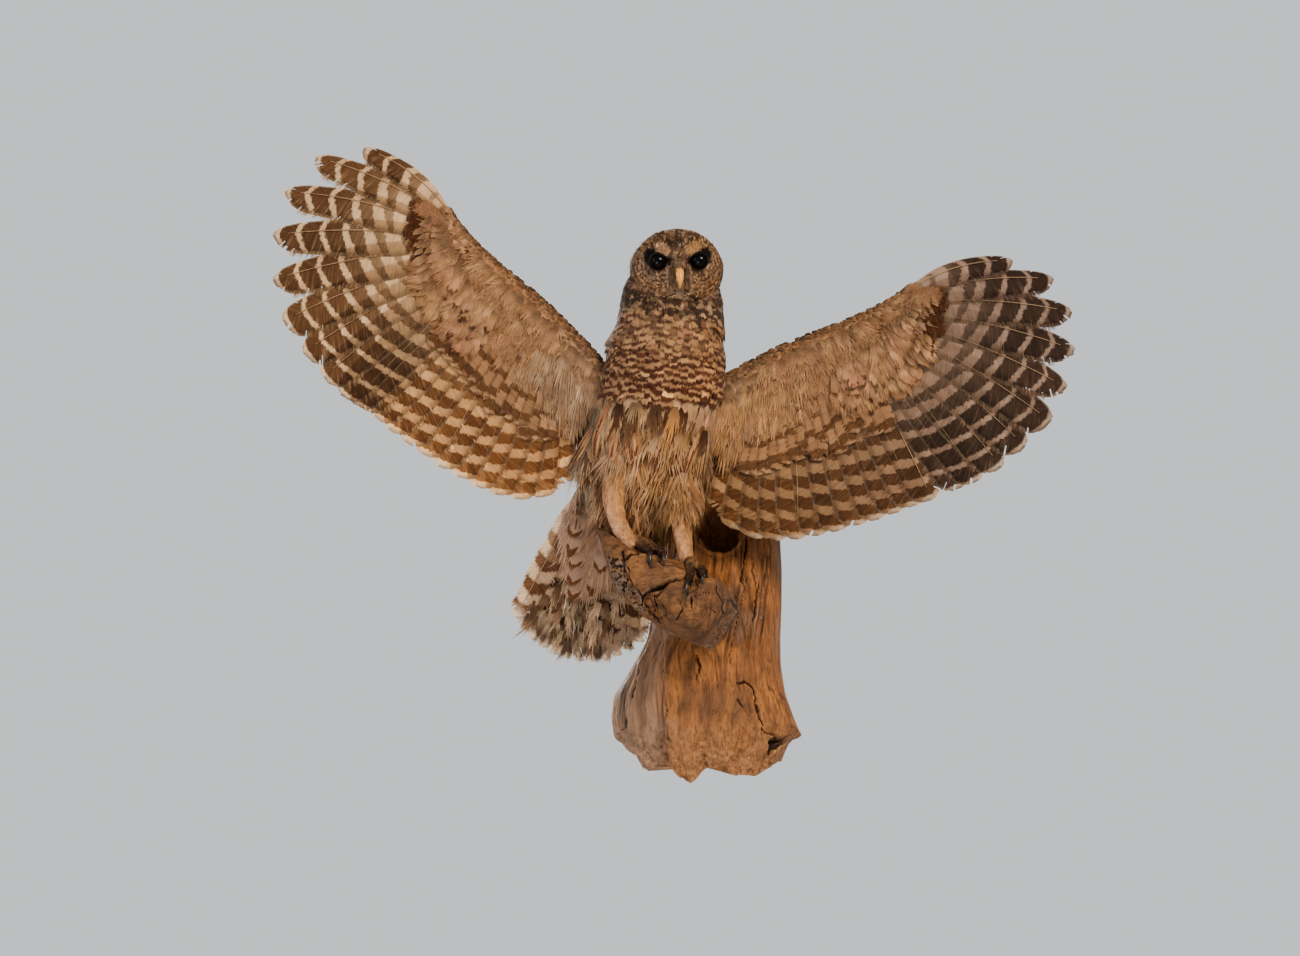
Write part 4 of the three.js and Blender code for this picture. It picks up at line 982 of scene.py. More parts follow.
    # Crown, nape and cheeks: brown, crossed with buff-white spots, longer down to the neck.
    rest = ok & ~disc & ~rim & ~chin & ((gap > 12.2) | ~in_front)
    k = rest.sum()
    q = p[rest]
    flow = q - HEAD_CENTRE
    flow[:, 2] -= 22 * ramp(20, -20, q[:, 2]) + 10
    flow[:, 1] += 30
    forehead = ramp(12, 2, np.abs(q[:, 0])) * ramp(-20, -34, q[:, 1])
    behind = ramp(-10, 20, q[:, 1])
    low_brow = ramp(22, 14, q[:, 2]) * ramp(16, 9, np.abs(q[:, 0])) * ramp(-10, -30, q[:, 1])
    pale = rng.random(k) < mix(0.22, 0.08, behind)
    tone = mix(mix(DARK, BROWN, 0.1) * 0.8, mix(WARM, CREAM, 0.65), pale * 0.85)
    tone = mix(tone, mix(STONE * 0.55, BROWN, rng.random(k)), low_brow)
    centre_spot = np.exp(-(((q[:, 0] + 2) / 7) ** 2) - ((q[:, 2] - 26) / 8) ** 2) * ramp(0, -20, q[:, 1])
    tone = mix(tone, DARK * 0.7, centre_spot)
    longer = 1 + 0.9 * ramp(0, -30, q[:, 2]) + 0.25 * ramp(0, 40, q[:, 1])
    barred = mix(mix(0.29, 0.18, forehead), 0.22, behind) * (1 - 0.8 * low_brow)
    coat.add(q, flow + rng.normal(0, 3, (k, 3)), n[rest],
        rng.uniform(8.5, 12, k) * longer * (1 - 0.4 * low_brow), rng.uniform(5.5, 8, k) * np.sqrt(longer),
        (tone, 0.16), (STRAW, 0.12), uv[rest], "small",
        pattern=cols(1.5 * longer, np.where(pale, 0.15, barred), 0.2), form=(-0.12, 0, 0.2),
        rise=mix(0.28, 0.42, ramp(0.5, 0.9, np.abs(n[rest, 0]))), bend=0.2, cup=0.24)
    # Loose hairs that stand off the outline, and bristles over the base of the bill.
    k = 240
    pick = rng.choice(np.nonzero(rest & (np.abs(x) > 24))[0], k)
    astray = np.cross(n[pick], rng.normal(size=(k, 3))) * 0.6
    coat.add(p[pick], astray + (p[pick] - HEAD_CENTRE) * [0.02, 0.02, 0.01], n[pick], (11, 18), (3, 5),
        (mix(BROWN, BUFF, 0.4), 0.2), (DARK, 0.1), uv[pick], "bristle", rise=0.5, bend=0.1)
    k = 420
    side = np.sign(rng.uniform(-1, 1, k))
    outward = rng.uniform(3.5, 13, k)
    root = cols(side * outward, rng.uniform(-46, -42, k), rng.uniform(-14, 8, k) - 1.1 * (outward - 3.5))
    out = cols(side * rng.uniform(0.0, 1.3, k), -0.5, rng.uniform(-1.3, -0.2, k))
    greyer = np.clip(rng.random(k) + 0.35 * (side < 0), 0, 1)
    tone = mix(mix(DARK, WARM, 0.6), STONE, greyer) * 0.8
    coat.add(root, out, cols(side * 0.8, -0.6, 0), (7, 15), (2.2, 4.2), (tone, 0.3), (DARK, 0.1),
        head_uv(root), "bristle", layout=(0, 0, 0.88), rise=0.12, bend=-0.02, hook=(0, 0.2))
    # Short bristles that come down over the root of the bill.
    k = 90
    root = cols(rng.uniform(-5, 5, k), rng.uniform(-49, -46, k), rng.uniform(1, 8, k))
    out = cols(root[:, 0] * 0.08, -0.35, -1.0)
    coat.add(root, out, cols(root[:, 0] * 0.1, -1.0, 0.3), rng.uniform(5, 10, k),
        rng.uniform(1.6, 2.6, k), (mix(mix(GREY, BUFF, 0.6) * 0.6, BROWN, rng.random(k) * 0.6), 0.3),
        (DARK, 0.1), head_uv(root), "fur", rise=0.16, bend=0.14, hook=(0, 0.2))
    return coat, face


# ------------------------------------------------------------------ wings


def over_quills(s, reach, out, mirror):
    """Roots that lie reach along the quills, out from the under side, and the way on."""
    angle = np.radians(flow_angle(s, mirror))
    lead, back, _ = flesh(s)
    start = mix(lead, back, 0.55)
    p, ahead = (wing_point(s + np.cos(angle) * r, start + np.sin(angle) * r, out, mirror)
        for r in (reach, reach + 5))
    return p, ahead - p


def wing_lining(mirror, face):
    """Short coverts in tiers from the leading edge back: the under side (1) or the back (-1)."""
    coat = Coat()
    tiers = 16
    for row in range(tiers):
        depth = row / (tiers - 1)
        s = np.arange(-34.0 - 14 * (face < 0) + 3.5 * (row % 2), 222.0, 4.2 if row < 4 else 7.6)
        s = s[s < mix(222, 186, ramp(0.35, 0.9, depth))]
        k = len(s)
        s = s + rng.normal(0, 1.3, k)
        share = np.clip(0.01 + 0.9 * depth**1.05 + rng.normal(0, 0.016, k), 0.005, 0.97)
        p, n, along = on_wing(s, share, face, mirror, sink=1.2)
        hand = ramp(135, 175, s)
        length = mix(10, 38, depth**0.8) * (1 - 0.1 * hand) * rng.uniform(0.82, 1.16, k)
        width = mix(7.5, 16, depth) * rng.uniform(0.88, 1.12, k)
        # Near the leading edge the feathers point out along the wing.
        out = unit(cols(mirror * OUTWARD[0], 0, OUTWARD[2]))
        along = along + (1 - ramp(0, 0.25, share))[:, None] * 2.0 * out + rng.normal(0, 0.13, (k, 3))
        uv = wing_uv(s, 0.03 + 0.94 * share)
        if face > 0:
            inner = ramp(70, 0, s)
            tone = mix(BLUSH, STONE, inner * 0.4)
            tone = mix(tone, mix(WARM, BROWN, 0.4), rng.random(k) * (0.6 - 0.2 * depth))
            # Painted light: the two linings differ only in brightness, with the wing on the key light's
            # side a tenth darker.
            tone = tone * mix(0.94, 0.86, inner)[:, None] * (0.9 if mirror > 0 else 1)
            tone = mix(tone, mix(BROWN, WARM, rng.random(k)), (1 - ramp(0.0, 0.22, share)) * 0.7)
            # Dark crescents at the ends of the hinder tiers, and a dark patch at the tertials.
            end = rng.random(k) < mix(0.03, 0.55, ramp(0.5, 0.85, depth)) * ramp(0, 50, s)
            patch = (s < 46) & (depth > 0.72) & (rng.random(k) < 0.7)
            speckled = (row < 5) & (rng.random(k) < 0.55)
            wrist = np.exp(-(((s - 168) / 17) ** 2)) * ramp(0.2, 0.5, share + rng.normal(0, 0.06, k))
            end |= rng.random(k) < wrist * 0.6
            tone = mix(tone, mix(DARK, RUST, 0.5), np.clip(wrist * 1.15, 0, 1))
            layout = cols(np.where(speckled, rng.uniform(0.3, 0.5, k), 0), 0.5,
                np.where(end, rng.uniform(0.78, 0.9, k), 2.0))
            pattern = cols(np.where(patch, 1.9, 0), 0.34, 0.2)
            fluffy = (inner > 0.5) | ((depth > 0.15) & ~end & ~patch & (rng.random(k) < 0.7))
            for kind, m in (("small" if row < 4 else "scallop", ~fluffy), ("soft", fluffy)):
                coat.add(p[m], along[m], n[m], length[m] * (1.15 if kind == "soft" else 1), width[m],
                    (tone[m], 0.16), (mix(BROWN, DARK, 0.25), 0.2), uv[m], kind, pattern=pattern[m],
                    layout=layout[m], form=(-0.3, 0.25, 0.15), rise=0.1 if row < 3 else 0.2, bend=0.11,
                    cup=0.2, hook=(0, 0.1), jitter=0.08)
        else:
            tone = mix(mix(DARK, BROWN, 0.55), mix(BROWN, WARM, 0.5), ramp(0.1, 0.7, share) * 0.5)
            coat.add(p, along, n, length * 0.9, width * 1.25, vary(tone, k, 0.14),
                vary(IVORY, k, 0.12), uv, "small" if row < 4 else "body",
                pattern=cols(1.2 + row * 0.07, np.where(rng.random(k) < 0.75, 0.32, 0.14), 0.2),
                form=(-0.1, 0.1, 0.15), rise=0.05 if row < 3 else 0.12, bend=0.07, cup=0.14)
    if face < 0:
        # Scapulars: long feathers that lie from the wing's root down over the flank.
        k = 90
        s, share = rng.uniform(-46, 26, k), rng.uniform(0.45, 0.97, k)
        p, n, along = on_wing(s, share, face, mirror, sink=0.5)
        coat.add(p, along + [0.0, 0.0, -0.9] + rng.normal(0, 0.12, (k, 3)), n, (40, 62), (18, 25),
            (UMBER, 0.14), (IVORY, 0.12), wing_uv(s, 0.03 + 0.94 * share),
            "body", pattern=(2.6, 0.32, 0.3), form=(-0.12, 0.1, 0.1), rise=0.08, bend=0.04, cup=0.14)
    if face > 0:
        # Soft feathers over the quills of the hand, and crescents where they meet those of the arm.
        k = 420
        s = rng.uniform(104, 208, k)
        q = np.clip((s - 104) / 104, 0, 1)
        reach = rng.uniform(1, 6, k) + rng.random(k) ** 0.8 * mix(44, 14, ramp(0.3, 0.75, q))
        p, ahead = over_quills(s, reach, 6.5, mirror)
        tone = mix(BLUSH, TAN, rng.random(k) * 0.4) * 0.9
        marked = rng.random(k) < mix(0.4, 0.12, ramp(120, 160, s))
        uv = wing_uv(s, 0.03 + 0.94 * np.clip(0.55 + reach / 150, 0, 1))
        for kind, m in (("scallop", marked), ("soft", ~marked)):
            c = m.sum()
            coat.add(p[m], ahead[m] + rng.normal(0, 1.3, (c, 3)), FORWARD, (20, 34), (10, 16),
                (tone[m], 0.12), (mix(DARK, BROWN, 0.5), 0.2), uv[m], kind,
                layout=(0, 0, 0.8 if kind == "scallop" else 2), form=(-0.3, 0.3, 0.1), rise=0.14,
                bend=0.09, cup=0.24, hook=(0, 0.12), jitter=0.08)
        # Soft feathers beyond the dark patch at the wrist, over the roots of the outer quills.
        k = 64
        s = rng.uniform(150, 204, k)
        reach = rng.uniform(40, 58, k) * mix(1, 0.66, ramp(165, 200, s))
        p, ahead = over_quills(s, reach, 6.0, mirror)
        tone = mix(BLUSH, TAN, rng.random(k) * 0.5) * 0.92
        coat.add(p, ahead + rng.normal(0, 1.0, (k, 3)), FORWARD, (18, 34), (11, 17), (tone, 0.14),
            (BROWN, 0.2), wing_uv(s, 0.9 + reach / 800), "soft", form=(0, 0.3, 0.1), rise=0.1, bend=0.08,
            cup=0.2, hook=(0, 0.12), jitter=0.1)
        # Loose barbs over the soft middle of the lining.
        k = 330
        s, share = rng.uniform(30, 165, k), rng.uniform(0.12, 0.86, k)
        p, n, along = on_wing(s, share, face, mirror, sink=-1.0)
        tone = mix(mix(ROSE, BUFF, 0.6), TAN, rng.random(k) * 0.5) * 0.9
        coat.add(p, along + rng.normal(0, 0.25, (k, 3)), n, (20, 32), (11, 17), (tone, 0.14),
            (BROWN, 0.1), wing_uv(s, 0.03 + 0.94 * share), "down", form=(0, 0.15, 0.1), rise=0.16,
            bend=0.08, hook=(0, 0.14), jitter=0.14)
        # Axillaries: long soft feathers over the join with the flank.
        k = 190
        s = rng.uniform(-42, 50, k)
        share = rng.uniform(0.25, 0.92, k)
        p, n, along = on_wing(s, share, face, mirror, sink=0.5)
        # Painted warm light: the axillaries of the wing on the key light's side are mixed further towards
        # orange.
        painted_warm_light = 0.5 if mirror > 0 else 0.1
        tone = mix(mix(STONE, BROWN, rng.random(k) * 0.5), ORANGE, painted_warm_light)
        coat.add(p, along + rng.normal(0, 0.12, (k, 3)), n, (38, 58), (13, 19), (tone, 0.15),
            (BROWN, 0.1), wing_uv(s, 0.03 + 0.94 * share), "down", form=(0, 0.15, 0.1), rise=0.1,
            bend=0.05, jitter=0.1)
    return coat


def widths(shape, x):
    """A long feather's width along it, with its corners smoothed and its tip rounded."""
    keys = [k for k, _ in shape]
    values = [w for _, w in shape]
    base = sum(np.interp(np.clip(x + o, 0, 1), keys, values) for o in (-0.05, -0.025, 0, 0.025, 0.05)) / 5
    tip = np.sqrt(np.clip(1 - (np.clip(x - 0.93, 0, 1) / 0.07) ** 2, 0, 1))
    return base * tip


def long_feather(coat, at, length, width, lead, shape, cell, ground, mark, pattern, layout=(0, 0, 2),
        form=(0, 0.4, 0.05), barbs=None, fray=0.05, slant=9.0, flip=1, shaft=1.8, faded=0.6, shift=0.25):
    """One flight or tail feather. at(x, a, h): x along the shaft, a across it, h above the vane."""
    barbs = barbs or int(length / 1.3)
    steps = 5
    tt = np.linspace(0, 1, steps + 1)
    fit = 1 / (1 + 0.75 * slant / length)
    xj = np.linspace(0.0, 1.0, barbs + 1) ** 0.96 * fit
    number = np.arange(barbs + 1)
    verts, tris, vane = [], [], []
    start = 0
    u0, v0, du, dv = cell
    for side, share in ((-1, lead), (1, 1 - lead)):
        # Where the barbs part: more often and more deeply towards the tip.
        chance = 0.25 + (number[2:-2] / barbs) ** 3 * 2.5
        splits = int(fray * barbs * (0.7 if side < 0 else 1.3))
        cuts = rng.choice(number[2:-2], splits, replace=False, p=chance / chance.sum())
        spread = np.zeros((barbs + 1, steps + 1))
        whole = np.ones((barbs, steps), bool)
        for cut in cuts:
            deep = 1 - rng.uniform(0.06, 0.22) * (1 + 0.9 * (cut > barbs * 0.94))
            away = number - cut - 0.5
            slip = np.clip((tt - deep) / (1 - deep), 0, 1)
            spread += (np.sign(away) * np.exp(-np.abs(away) / 2.5))[:, None] * slip * rng.uniform(0.06, 0.2)
            whole[cut] &= tt[1:] <= deep + 0.02
        ends = np.abs(rng.normal(0, 0.008, barbs + 1))
        ends = ends + rng.uniform(0, 0.03, barbs + 1) * ramp(0.9, 0.98, xj)
        uneven = 1 + 0.05 * rng.normal(size=barbs + 1) * ramp(0.85, 0.97, xj)
        reach_out = slant * (0.55 + 0.45 * ramp(0, 0.2, xj)) * uneven
        x = xj[:, None] + (reach_out / length)[:, None] * tt[None] ** 1.15 + spread / length
        a = side * width * share * widths(shape, xj / fit)[:, None] * tt[None]
        a = a * (1 - ends[:, None] * tt[None] ** 3)
        pts = at(x, a, np.zeros_like(x))
        n = steps + 1
        i, j = np.nonzero(whole)
        q = cols(i * n + j, i * n + j + 1, (i + 1) * n + j + 1, (i + 1) * n + j)
        if side * flip > 0:
            q = q[:, ::-1]
        tris.append(np.concatenate([q[:, [0, 1, 2]], q[:, [0, 2, 3]]]) + start)
        verts.append(pts.reshape(-1, 3))
        # side -1 is the leading web; the vane map holds it in its lower half.
        vane.append(cols(0.5 + side * tt * 0.5, np.minimum(x, 1)).reshape(-1, 2))
        start += pts.shape[0] * pts.shape[1]
    count_vane = start
    # The shaft, a ridge that stands out of the vane on both faces.
    xs = np.linspace(0, 0.985 * fit, 30)
    half = shaft * (1 - xs) ** 0.7 * 0.55 + 0.16
    none = half * 0
    corners = ((none, half * 1.3), (half, none), (none, -half * 1.3), (-half, none))
    pts = np.stack([at(xs, a, h) for a, h in corners], 1)
    tris.append(grid_tris(len(xs), 4) + start)
    verts.append(pts.reshape(-1, 3))
    vane.append(cols(0.5, np.repeat(xs[:, None], 4, 1)).reshape(-1, 2))
    verts, tris, vane = np.concatenate(verts), np.concatenate(tris), np.concatenate(vane)
    total = len(verts)
    is_shaft = np.arange(total) >= count_vane
    bake = cols(u0 + du * vane[:, 0], v0 + dv * np.clip(vane[:, 1], 0, 1))
    seed = rng.random() * shift
    horn = mix(HORN, CREAM, 0.5)
    # The marks lighten towards the root.
    paled = mix(mix(mark, ground, faded), mark, ramp(0.2, 0.75, vane[:, 1]))

    def per(value, shaft_value):
        return np.where(is_shaft[:, None], np.asarray(shaft_value, float), np.asarray(value, float))

    coat.push(verts, tris, vane, bake,
        {"ground": per(ground, horn), "mark": per(paled, mix(HORN, BROWN, 0.2)),
        "pattern": per(pattern, (0, 0, 0)), "layout": per(layout, (0, 0, 2)),
        "size": np.broadcast_to([length, width, seed], (total, 3)), "form": per(form, (0, 0, 0))})
    coat.roots.append(at(np.array([0.15]), np.zeros(1), np.zeros(1)))
    coat.shades.append(np.asarray(ground, float)[None] * 0.6 + np.asarray(mark, float)[None] * 0.4)


def wing_feather(coat, s, t, angle, reach, bow, width, lead, shape, lift, mirror, cell, **looks):
    """A long feather of the wing, rolled a little so that it lies over the next one."""
    a0, a1 = math.cos(math.radians(angle)), math.sin(math.radians(angle))
    twist = rng.normal(0, 0.006)

    def at(x, a, h):
        out = reach * x
        side = bow * 4 * x * (1 - x) - a
        roll = 1.25 / (10 + 11 * x) + twist
        n = lift + roll * a + h - 0.0018 * a * a * np.sign(lift + 0.01)
        return wing_point(s + a0 * out + a1 * side, t + a1 * out - a0 * side, n, mirror)

    long_feather(coat, at, reach, width, lead, shape, cell, flip=mirror, **looks)
    return at


def loose_barbs(coat, at, count, first, length, width, web, shape, cell, tones):
    """Single barbs that stand out of the edge of a long feather's hinder web, and round its tip."""
    x = mix(first, 0.93, np.sqrt(rng.random(count)))
    edge = width * web * widths(shape, x)
    root = at(x, edge * 0.86, 0 * x + 0.3)
    along = at(x + 9 / length, edge * 0.86 + 17, 0 * x) - root + rng.normal(0, 1.6, (count, 3))
    u0, v0, du, dv = cell
    coat.add(root, along, FORWARD, (8, 13), (2.0, 3.4), (mix(*tones, 0.35), 0.3), (tones[1], 0.1),
        cols(u0 + 0.95 * du, v0 + dv * x), "bristle", form=(0, 0, 0.2), rise=0.0, bend=0.02, jitter=0.1)


def flight_feathers(mirror):
    primaries, secondaries = Coat(), Coat()
    reach = [225, 229, 232, 233, 235, 227, 215, 199, 173, 128]
    width = [42, 43, 44, 44, 44, 42, 40, 37, 33, 27]
    inner, sweep, power = FANS[mirror]
    # Painted light: the two wings differ only in how light falls on them. The wing on the key light's side
    # is painted cooler and greyer, and the secondaries of the backlit wing are painted brighter.
    painted_cool_light = 0.7 if mirror > 0 else 0.1
    pale = mix(mix(BUFF, CREAM, 0.2), rgb(148, 122, 112), painted_cool_light)
    dark = mix(rgb(94, 64, 40), rgb(56, 44, 38), painted_cool_light)
    painted_backlight = 0.92 if mirror > 0 else 1.35
    for i in range(10):
        q = i / 9
        cell = (0.02 + 0.096 * i, 0.02, 0.086, 0.96)
        tones = vary(pale, 1, 0.06, 0.008)[0], vary(dark, 1, 0.1, 0.01)[0]
        lead, shape = 0.36 - 0.1 * q, FINGER_SHAPE if i > 4 else VANE_SHAPE
        at = wing_feather(primaries, 146 + 58 * q, 14 - 10 * q, inner - sweep * q**power, reach[i],
            4 + 9 * q, width[i], lead, shape, 0.0, mirror, cell, ground=tones[0], mark=tones[1],
            pattern=(reach[i] / (27.0 - 2 * q), 0.74, 0.2), form=(-0.3, 0.5, 0.1),
            fray=0.03 if i > 3 else 0.012, slant=13.0, shift=0.35)
        loose_barbs(primaries, at, 80 if i > 3 else 24, 0.45 if i > 2 else 0.8, reach[i], width[i],
            1 - lead, shape, cell, tones)
    for i in range(12):
        q = i / 11
        cell = (0.015 + 0.081 * i, 0.02, 0.072, 0.96)
        length = 218 - 38 * q - 43 * q**8
        ground = mix(pale, mix(BUFF, ORANGE, 0.35), 0.35 + 0.5 * q) * 0.9 * painted_backlight
        mark = mix(dark, rgb(118, 78, 46), 0.4 + 0.6 * q) * painted_backlight
        tones = vary(ground, 1, 0.06, 0.008)[0], vary(mark, 1, 0.08, 0.01)[0]
        at = wing_feather(secondaries, 137 - 129 * q, 18 + 28 * q, 86 + 43 * q**1.3, length, 4, 46, 0.4,
            VANE_SHAPE, 0.0, mirror, cell, ground=tones[0], mark=tones[1],
            pattern=(length / 25.5 + rng.normal(0, 0.05), 0.6, 0.25), form=(-0.3, 0.5, 0.1), fray=0.02,
            slant=13.0, shift=0.2)
        loose_barbs(secondaries, at, 26, 0.8, length, 46, 0.6, VANE_SHAPE, cell, tones)
    return primaries, secondaries


def greater_coverts(mirror, face):
    """The longest coverts, over the roots of the flight feathers: under side (1) or back (-1)."""
    coat = Coat()
    inner, sweep, power = FANS[mirror]
    under = face > 0
    upper_look = dict(ground=mix(DARK, BROWN, 0.7), mark=IVORY, pattern=(3.4, 0.3, 0.2))
    for i in range(15):
        q = (i + 0.4) / 15
        cell = (0.01 + 0.04 * i, 0.02, 0.036, 0.96)
        length = (106 - 14 * q) * rng.uniform(0.86, 1.08)
        look = dict(upper_look) if not under else dict(
            ground=mix(mix(ROSE, BUFF, 0.6), WARM, 0.1 + 0.25 * rng.random()), mark=mix(BROWN, WARM, 0.5),
            pattern=(length / 25.5, 0.42, 0.1))
        look["ground"] = vary(look["ground"], 1, 0.06, 0.01)[0]
        look["mark"] = vary(look["mark"], 1, 0.08, 0.01)[0]
        wing_feather(coat, 136 - 126 * q, 30 + 22 * q, 86 + 43 * q**1.3, length, 2, 27, 0.45, VANE_SHAPE,
            face * (4.2 + 0.4 * q), mirror, cell, form=(0.12, 0.25, 0.06), barbs=40, fray=0.2, slant=9.0,
            shaft=0.7, **look)
    for i in range(10):
        q = (i + 0.4) / 10
        cell = (0.61 + 0.038 * i, 0.02, 0.034, 0.96)
        # The dark comma at the wrist is the ends of the coverts of the outer primaries.
        comma = (2.0, 2.0, 2.0, 0.97, 0.9, 0.76, 0.6, 0.56, 0.66, 0.92)[i]
        look = dict(upper_look) if not under else dict(ground=mix(BLUSH, WARM, 0.35),
            mark=mix(DARK, RUST, 0.7), pattern=(0, 0, 0), layout=(0, 0, comma))
        look["ground"] = vary(look["ground"], 1, 0.06, 0.01)[0]
        look["mark"] = vary(look["mark"], 1, 0.1, 0.01)[0]
        length = (96 - 36 * q) * rng.uniform(0.92, 1.04) * (1 if under else 0.95)
        wing_feather(coat, 147 + 55 * q, 17 - 10 * q, inner - sweep * q**power, length, 2, 27 - 7 * q,
            0.45, VANE_SHAPE, face * (4.4 - 0.9 * q), mirror, cell, form=(0, 0.1, 0.1), barbs=40,
            fray=0.2, slant=9.0, shaft=0.7, faded=0.1, **look)
    return coat


# ------------------------------------------------------------------ tail

TAIL_ROOT = np.array([-38.0, 34.0, -142.0])
TAIL_LENGTH = 237
# Feathers with an arrow at the end, as (across, down the tail).
ARROWS = [(-0.8, 73), (-0.68, 95), (-0.48, 110), (-0.36, 131), (-0.28, 148), (0.1, 139), (0.22, 108),
    (0.3, 84)]


def tail_angle(q, fan):
    """The way that a feather at q points, for a half fan of so many degrees."""
    return np.radians(-2.5 + fan * q)


def tail_place(q, l, out):
    """A point l down the tail and q across it, from -1 to 1, out of its under side if out < 0."""
    angle = tail_angle(q, 14)
    deep = 16 * l / TAIL_LENGTH - 5 * np.abs(q) + out
    return TAIL_ROOT + cols(20 * q + l * np.sin(angle), deep, -14 - l * np.cos(angle))


def tail_feathers():
    coat, coverts = Coat(), Coat()
    for i in range(12):
        q = (i - 5.5) / 5.5
        angle = tail_angle(q, 16.5)
        length = TAIL_LENGTH - 30 * q * q
        sx, sz = math.sin(angle), -math.cos(angle)
        start = TAIL_ROOT + np.array([18 * q, -abs(i - 5.5) * 1.3, 0])

        def at(x, a, h, sx=sx, sz=sz, length=length, start=start, q=q):
            p = start + length * x[..., None] * np.array([sx, 0, sz])
            p = p + a[..., None] * np.array([-sz, 0, sx])
            p[..., 1] += 16 * x - 6 * q * q * x - h + 0.002 * a * a
            return p

        lead = 0.6 if q > 0 else 0.4
        cell = (0.015 + 0.081 * i, 0.02, 0.072, 0.96)
        tone = vary(mix(BUFF, GREY, 0.5) * 1.15, 1, 0.1, 0.015)[0]
        bar = vary(mix(BROWN, rgb(112, 74, 48), 0.7) * 0.74, 1, 0.14, 0.015)[0]
        pattern = (length / rng.uniform(25, 32), 0.54, 0.5)
        long_feather(coat, at, length, 37, lead, VANE_SHAPE, cell, tone, bar, pattern,
            form=(-0.3, 0.7, 0.6), fray=0.3, slant=13.0, flip=-1, shift=1.3)
    # Soft brown and pale wisps that blur the bars.
    k = 46
    pale = mix(mix(GREY, ROSE, 0.2), BUFF, 0.5) * 1.1
    q = rng.uniform(-1, 1, k)
    l = mix(rng.uniform(150, 196, k), rng.uniform(90, 190, k), np.abs(q) > 0.42)
    angle = tail_angle(q, 16.5)
    along = cols(np.sin(angle) + rng.normal(0, 0.16, k), rng.normal(-0.04, 0.05, k), -np.cos(angle))
    coverts.add(tail_place(q, l, -6.5), along, FORWARD, rng.uniform(22, 38, k), rng.uniform(9, 15, k),
        (mix(pale, mix(BROWN, WARM, 0.3), (rng.random(k) < 0.45) * 0.8), 0.2, 0.015), (BROWN, 0.1),
        cols(0.5 + q / 2.4, 0.3 - l / 900), "down", form=(0, 0.2, 0.1), rise=0.1, bend=0.06,
        hook=(0, 0.14), jitter=0.12)
    # Frayed tips: wisps of pale barbs, and the bare straws of broken shafts.
    wisps = (150, 0.3, (16, 30), 6.0, "down", mix(GREY, BUFF, 0.4) * 1.2)
    broken = (11, 0.4, (24, 44), 1.4, "streak", rgb(255, 244, 222))
    for k, spread, long, wide, kind, tone in (wisps, broken):
        straws = kind == "streak"
        if straws:
            l = rng.uniform(135, 205, k)
            q = (l - 190) / 130 + 0.1 * rng.normal(size=k) + 0.3 * (rng.random(k) < 0.2)
        else:
            l = rng.uniform(-16, 6, k)
            q = rng.uniform(-1, 1, k)
            l = 204 - 22 * q * q + l
        angle = tail_angle(q, 16.5)
        along = cols(np.sin(angle) + rng.normal(0, spread, k), rng.normal(-0.06, 0.06, k), -np.cos(angle))
        place = tail_place(q, l, -5.0)
        blotch = 0 if straws else 0.8 * ramp(-0.02, 0.1, cloud(place, 15, 23, 2))
        coat.add(place, along, FORWARD, long, wide, (mix(tone, mix(BROWN, DARK, 0.25), blotch), 0.15),
            (BROWN, 0.1), cols(0.5 + q / 2.2, 0.995), kind, form=(0, 0, 0.1), rise=0.05, bend=-0.05,
            hook=(0, 0.12), jitter=0.05)
    # Soft plain coverts under the tail, and barred ones above it.
    for face in (-1, 1):
        for row in range(17 if face < 0 else 10):
            l = 8.0 * row - 18
            count = 9 + row // 3
            q = np.linspace(-1, 1, count) * (1 - 0.04 * (row % 2)) + rng.normal(0, 0.05, count)
            keep = (l < mix(112, 60, np.abs(q) ** 1.6)) if face < 0 else (l < 66 - 20 * q * q)
            q = q[keep]
            k = len(q)
            angle = tail_angle(q, 14)
            along = cols(np.sin(angle), -0.02 * face, -np.cos(angle)) + rng.normal(0, 0.06, (k, 3))
            out = [0.0, float(face), 0.0]
            uv = cols(0.5 + q / 2.4, 0.96 - l / 160 if face < 0 else 0.4 - l / 300)
            if face < 0:
                tone = mix(mix(ROSE, GREY, 0.6), mix(BUFF, WARM, 0.5), rng.random(k) * 0.5) * 1.1
                coverts.add(tail_place(q, l, -5.0 - 0.02 * l), along, out, (42, 54), (19, 25),
                    (tone, 0.14), (BROWN, 0.1), uv, "soft", form=(0, 0.3, 0.1), rise=0.12, bend=0.07,
                    cup=0.14, jitter=0.12)
            else:
                coverts.add(tail_place(q, l, 5.0), along, out, (34, 44), (18, 22),
                    (mix(DARK, BROWN, 0.7), 0.12), (STRAW, 0.1), uv, "body",
                    pattern=(2.0, 0.32, 0.3), form=(-0.12, 0.1, 0.1), rise=0.12, bend=0.08, cup=0.16)
    # Single feathers, each with a brown arrow.
    for q, l in ARROWS:
        q, l = np.array([q]), np.array([l - 26.0])
        angle = tail_angle(q, 14)
        along = cols(np.sin(angle), 0.02, -np.cos(angle))
        coverts.add(tail_place(q, l, -10.0), along, FORWARD, 36.0, 22.0,
            mix(mix(ROSE, GREY, 0.6), WARM, 0.2) * 1.1, mix(DARK, rgb(124, 80, 48), 0.85),
            cols(0.5 + q / 2.4, 0.96 - l / 160), "scallop", pattern=(1.6, 0.46, 0.0),
            form=(-0.75, 0.3, 0.1), rise=0.05, bend=0.03, cup=0.1, jitter=0.05)
    return coat, coverts


# ------------------------------------------------------------------ driftwood (part frame)

